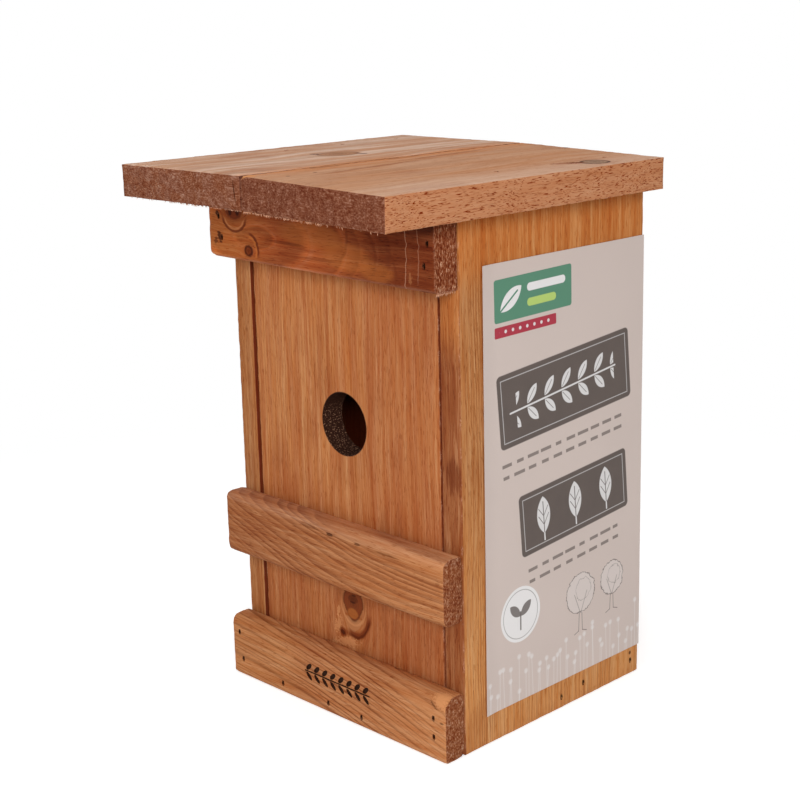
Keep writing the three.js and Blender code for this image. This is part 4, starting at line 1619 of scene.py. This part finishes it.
    def draw_leaf_board(self, place):
        """A smaller dark field with three upright leaves."""
        tones = self.tones
        self.draw_ground(place, 72, 28, 9.0)
        local, _ = repeated((place[0] + 31.5, place[1]), 21)
        upright = turned(local, 0, 0, 90)
        inside = abs(place[0]) - 31.5
        leaf = petal(upright, 1.0, 0, 17, 8.4).at_least(inside)
        self.lay(leaf, tones.chalk, 0.85)
        mirrored = abs(local[0]), local[1]
        veins = stroke(mirrored, (0, -3.5), (3.2, 1.0), 0.35)
        veins = veins.at_most(stroke(mirrored, (0, 0.5), (3.0, 4.5), 0.35))
        veins = veins.at_most(stroke(local, (0, -10), (0, 7), 0.5))
        self.lay(veins.at_least(leaf), tones.ink, 0.9)
        self.lay(stroke(local, (0, -10.5), (0, -7.5), 0.8).at_least(inside), tones.chalk, 0.85)

    def draw_dashes(self, place, reach):
        """Two rows of short grey bars."""
        within = abs(place[0] - reach / 2) - reach / 2
        for row, shift in ((0, 0.0), (-5.2, 17.3)):
            local, number = repeated((place[0] + shift, place[1] - row), 8.2)
            chance = self.finish.chance(number + shift)
            bar = (abs(local[0]) - (chance * 1.9 + 1.8)).at_least(abs(local[1]) - 0.75)
            self.lay(bar.at_least(within), self.tones.ink, 0.72)

    def draw_seal(self, place, along, up):
        """A white disc with a ring and a sprout."""
        tones = self.tones
        edge = disc(place, along, up, 12.5)
        self.lay(edge, tones.chalk)
        self.outline(edge + 1.6, tones.ink, 0.35, 0.6)
        local = turned(place, along, up, 0)
        self.lay(stroke(local, (0, -7), (0, 1.0), 0.8), tones.ink, 0.9)
        sprout = turned((abs(local[0]), local[1]), 0, -1.0, 42)
        self.lay(petal(sprout, 4.6, 0, 8.6, 4.2), tones.ink, 0.85)

    def draw_tree(self, place, along, up, crown):
        """A tree in thin pencil lines."""
        tones = self.tones
        trunk = turned(place, along, up, 0)
        top = 1.9 * crown
        rough = (self.finish.noise(self.finish.vector(place[0] / 2.2, place[1] / 2.2, crown), 2.0) - 0.5) * 3
        self.lay(disc(trunk, 0, top, crown), tones.chalk, 0.25)
        self.outline(disc(trunk, 0, top, crown) + rough, tones.ink, 0.45, 0.75)
        self.outline(disc(trunk, crown * 0.2, top + crown * 0.15, crown * 0.55) + rough, tones.ink, 0.3, 0.5)
        mirrored = abs(trunk[0]), trunk[1]
        self.lay(stroke(mirrored, (1.3, 0), (0.9, top - crown), 0.35), tones.ink, 0.8)
        self.lay(stroke(mirrored, (1.3, 0), (4.2, -1.0), 0.35), tones.ink, 0.8)
        self.lay(stroke(mirrored, (0.2, top - crown), (crown * 0.45, top), 0.35), tones.ink, 0.6)


class NESTBOX_OT_metal(bpy.types.Operator):
    """Model the hanger and its screws, and finish the brads"""

    bl_idname = "nestbox.metal"
    bl_label = "Hanger and Brads"

    def execute(self, context):
        tones = context.scene.nestbox_tones
        wire = self.wire(tones)
        for node in node_names("brad_"):
            dress_node(node, wire)
        plate = self.plated(tones)
        self.hanger(plate)
        for node in node_names("hanger_screw"):
            self.screw(node, plate)
        return {"FINISHED"}

    def wire(self, tones):
        """Dull dark wire with a little rust."""
        finish = Finish("brad_wire")
        x, y, z = finish.millimetres((0, 0, 0))
        rust = finish.noise(finish.vector(x / 0.6, y / 0.6, z / 0.6), 2.0).step(0.45, 0.65)
        colour = finish.mix(tones.brad, tones.oil, rust * 0.05)
        finish.set(base_color=colour, roughness=rust * 0.2 + 0.6, specular_ior_level=0.05)
        return finish.material

    def plated(self, tones):
        """Zinc plate with faint draw lines and dull patches."""
        finish = Finish("plated_steel")
        x, y, z = finish.millimetres(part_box("keyhole_hanger")[0])
        lines = finish.noise(finish.vector(x / 0.12, y, z / 9), 2.0)
        patches = finish.noise(finish.vector(x / 7, y / 7, z / 7), 3.0)
        finish.set(base_color=finish.brighten(tones.steel, 0.8 + patches * 0.3 + (lines - 0.5) * 0.2))
        finish.set(roughness=0.24 + patches.step(0.4, 0.7) * 0.22 + lines * 0.08, metallic=1.0)
        finish.relief(lines * 0.012)
        return finish.material

    def hanger(self, material):
        """A keyhole plate with seats for its countersunk screws."""
        low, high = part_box("keyhole_hanger")
        middle = (low + high) / 2
        plate = add_block("keyhole_hanger_plate", low, high)
        thick = high.y - low.y
        round_edges(plate, (high.x - low.x) * 0.28, 8, lambda edge: runs_along(edge, 1, thick / 2))
        round_edges(plate, thick * 0.2, ARRIS_SEGMENTS, is_sharp)
        place = middle - Vector((0, 0, KEYHOLE_BELOW))
        cutters = [keyhole_cutter("keyhole", place, KEYHOLE_DIAMETER / 2, KEYHOLE_SLOT / 2, 4 * thick)]
        for node in node_names("hanger_screw"):
            screw_low, screw_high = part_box(node)
            head = (screw_high.x - screw_low.x) / 2
            seat = middle_of(node)
            seat.y = high.y - thick / 2
            radii = head * 1.12, head * 0.62
            cutters.append(add_cone("seat", seat, *radii, thick * 1.02, SCREW_SIDES))
        for cutter in cutters:
            carve(plate, [cutter])
        hand_over(plate, "keyhole_hanger", material)

    def screw(self, node, material):
        """A countersunk screw with a cross recess, of which only the head shows."""
        low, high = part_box(node)
        radius = (high.x - low.x) / 2
        middle = middle_of(node)
        top = Vector((middle.x, high.y, middle.z))
        shank = add_rod(f"{node}_steel", middle, radius / 2, high.y - low.y, "Y", SHANK_SIDES)
        inside = top - Vector((0, SCREW_HEAD_HEIGHT / 2, 0))
        head = add_cone("screw_head", inside, radius, radius / 2, SCREW_HEAD_HEIGHT, SCREW_SIDES)
        for turn in (0, 1):
            arm = Vector((radius * 0.55, SCREW_HEAD_HEIGHT * 0.6, radius * 0.1))
            if turn:
                arm = Vector((arm.z, arm.y, arm.x))
            carve(head, [add_block("recess", top - arm, top + arm)])
        combine(shank, head, "UNION")
        hand_over(shank, node, material)


class NESTBOX_OT_stage(bpy.types.Operator):
    """Set up the floor, the lamps, the world and the camera"""

    bl_idname = "nestbox.stage"
    bl_label = "Stage"

    def execute(self, context):
        stage = context.scene.nestbox_stage
        context.scene.view_settings.view_transform = "Standard"
        self.add_world(context.scene, stage.sky)
        self.add_floor()
        self.add_lamp("key_lamp", stage.key, azimuth=46, height=22, distance=1.5, size=0.45)
        self.add_lamp("top_lamp", stage.top, azimuth=20, height=80, distance=1.4, size=1.0)
        self.add_lamp("side_lamp", stage.side, azimuth=-50, height=25, distance=1.6, size=1.0)
        self.add_camera(context.scene)
        return {"FINISHED"}

    def add_world(self, scene, sky):
        """Even pale light, which lenses and mirrors see as the white backdrop."""
        world = bpy.data.worlds.new("studio")
        world.use_nodes = True
        scene.world = world
        tree = world.node_tree
        background = tree.nodes["Background"]
        path = tree.nodes.new("ShaderNodeLightPath")
        seen = tree.nodes.new("ShaderNodeMath")
        seen.operation = "MAXIMUM"
        strength = tree.nodes.new("ShaderNodeMapRange")
        strength.inputs["To Min"].default_value = sky
        strength.inputs["To Max"].default_value = 1.0
        tree.links.new(path.outputs["Is Camera Ray"], seen.inputs[0])
        tree.links.new(path.outputs["Is Glossy Ray"], seen.inputs[1])
        tree.links.new(seen.outputs[0], strength.inputs["Value"])
        tree.links.new(strength.outputs[0], background.inputs["Strength"])
        background.inputs["Color"].default_value = (1, 1, 1, 1)

    def add_floor(self):
        """A pale disc that takes the shadow and turns into the white backdrop away from the box."""
        deselect()
        bpy.ops.mesh.primitive_circle_add(vertices=FLOOR_SIDES, radius=FLOOR_RADIUS, fill_type="NGON")
        floor = bpy.context.active_object
        floor.name = "studio_floor"
        finish = Finish("studio_floor")
        finish.set(base_color=(0.82, 0.82, 0.82, 1), roughness=0.9)
        place = finish.parts(finish.node("ShaderNodeTexCoord", output="Object"))
        reach = (place[0].squared() + place[1].squared()).root()
        path = finish.node("ShaderNodeLightPath", output="Is Camera Ray")
        glow = finish.node("ShaderNodeEmission", None, {"Strength": 0.5})
        white = finish.node("ShaderNodeEmission", None, {"Strength": 1.0})
        surface = Channel(finish, finish.surface.outputs[0])
        lit = finish.node("ShaderNodeAddShader", None, {0: surface, 1: glow})
        near = finish.node("ShaderNodeMixShader", None, {0: path, 1: surface, 2: lit})
        away = reach.step(*FLOOR_FADE) * path
        far = finish.node("ShaderNodeMixShader", None, {0: away, 1: near, 2: white})
        output = finish.tree.nodes["Material Output"]
        finish.feed(output.inputs["Surface"], far)
        floor.data.materials.append(finish.material)

    def add_lamp(self, name, power, azimuth, height, distance, size):
        """A square soft box aimed at the middle of the nest box, with angles in degrees."""
        target = (cad_low + cad_high) / 2
        turn, rise = math.radians(azimuth), math.radians(height)
        way = Vector((math.sin(turn) * math.cos(rise), -math.cos(turn) * math.cos(rise), math.sin(rise)))
        bpy.ops.object.light_add(type="AREA", location=target + way * distance)
        lamp = bpy.context.active_object
        lamp.name = name
        lamp.rotation_euler = way.to_track_quat("Z", "Y").to_euler()
        lamp.data.energy = power
        lamp.data.size = size

    def add_camera(self, scene):
        """A camera at the photograph's viewpoint."""
        location = Vector(CAMERA_PLACE) * MM
        bpy.ops.object.camera_add(location=location)
        camera = bpy.context.active_object
        camera.name = "camera"
        aim = Vector(CAMERA_AIM).to_track_quat("-Z", "Y").to_matrix()
        roll = Matrix.Rotation(math.radians(CAMERA_ROLL), 3, "Z")
        camera.rotation_euler = (aim @ roll).to_euler()
        camera.data.lens = CAMERA_LENS
        camera.data.sensor_width = 36
        camera.data.shift_x, camera.data.shift_y = CAMERA_SHIFT
        camera.data.clip_start = 0.01
        scene.camera = camera


class NESTBOX_PT_panel(bpy.types.Panel):
    """Lists what the nest box is made of"""

    bl_idname = "NESTBOX_PT_panel"
    bl_label = "Nest Box"
    bl_space_type = "VIEW_3D"
    bl_region_type = "UI"
    bl_category = "Nest Box"

    def draw(self, context):
        for operator in OPERATORS:
            self.layout.operator(operator.bl_idname)
        for holder in GROUPS:
            group = getattr(context.scene, holder)
            column = self.layout.column()
            for name in group.__annotations__:
                column.prop(group, name)


OPERATORS = (
    NESTBOX_OT_stage,
    NESTBOX_OT_walls,
    NESTBOX_OT_door,
    NESTBOX_OT_battens,
    NESTBOX_OT_roof,
    NESTBOX_OT_label,
    NESTBOX_OT_metal,
)
GROUPS = {
    "nestbox_tones": NESTBOX_PG_tones,
    "nestbox_sizes": NESTBOX_PG_sizes,
    "nestbox_stage": NESTBOX_PG_stage,
}


def register():
    for name, group in GROUPS.items():
        bpy.utils.register_class(group)
        setattr(bpy.types.Scene, name, bpy.props.PointerProperty(type=group))
    for shown in (*OPERATORS, NESTBOX_PT_panel):
        bpy.utils.register_class(shown)


def unregister():
    for shown in (NESTBOX_PT_panel, *reversed(OPERATORS)):
        bpy.utils.unregister_class(shown)
    for name, group in reversed(GROUPS.items()):
        delattr(bpy.types.Scene, name)
        bpy.utils.unregister_class(group)


def main():
    register()
    bpy.ops.nestbox.stage()
    bpy.ops.nestbox.walls()
    bpy.ops.nestbox.door()
    bpy.ops.nestbox.battens()
    bpy.ops.nestbox.roof()
    bpy.ops.nestbox.label()
    bpy.ops.nestbox.metal()


if __name__ == "__main__":
    main()
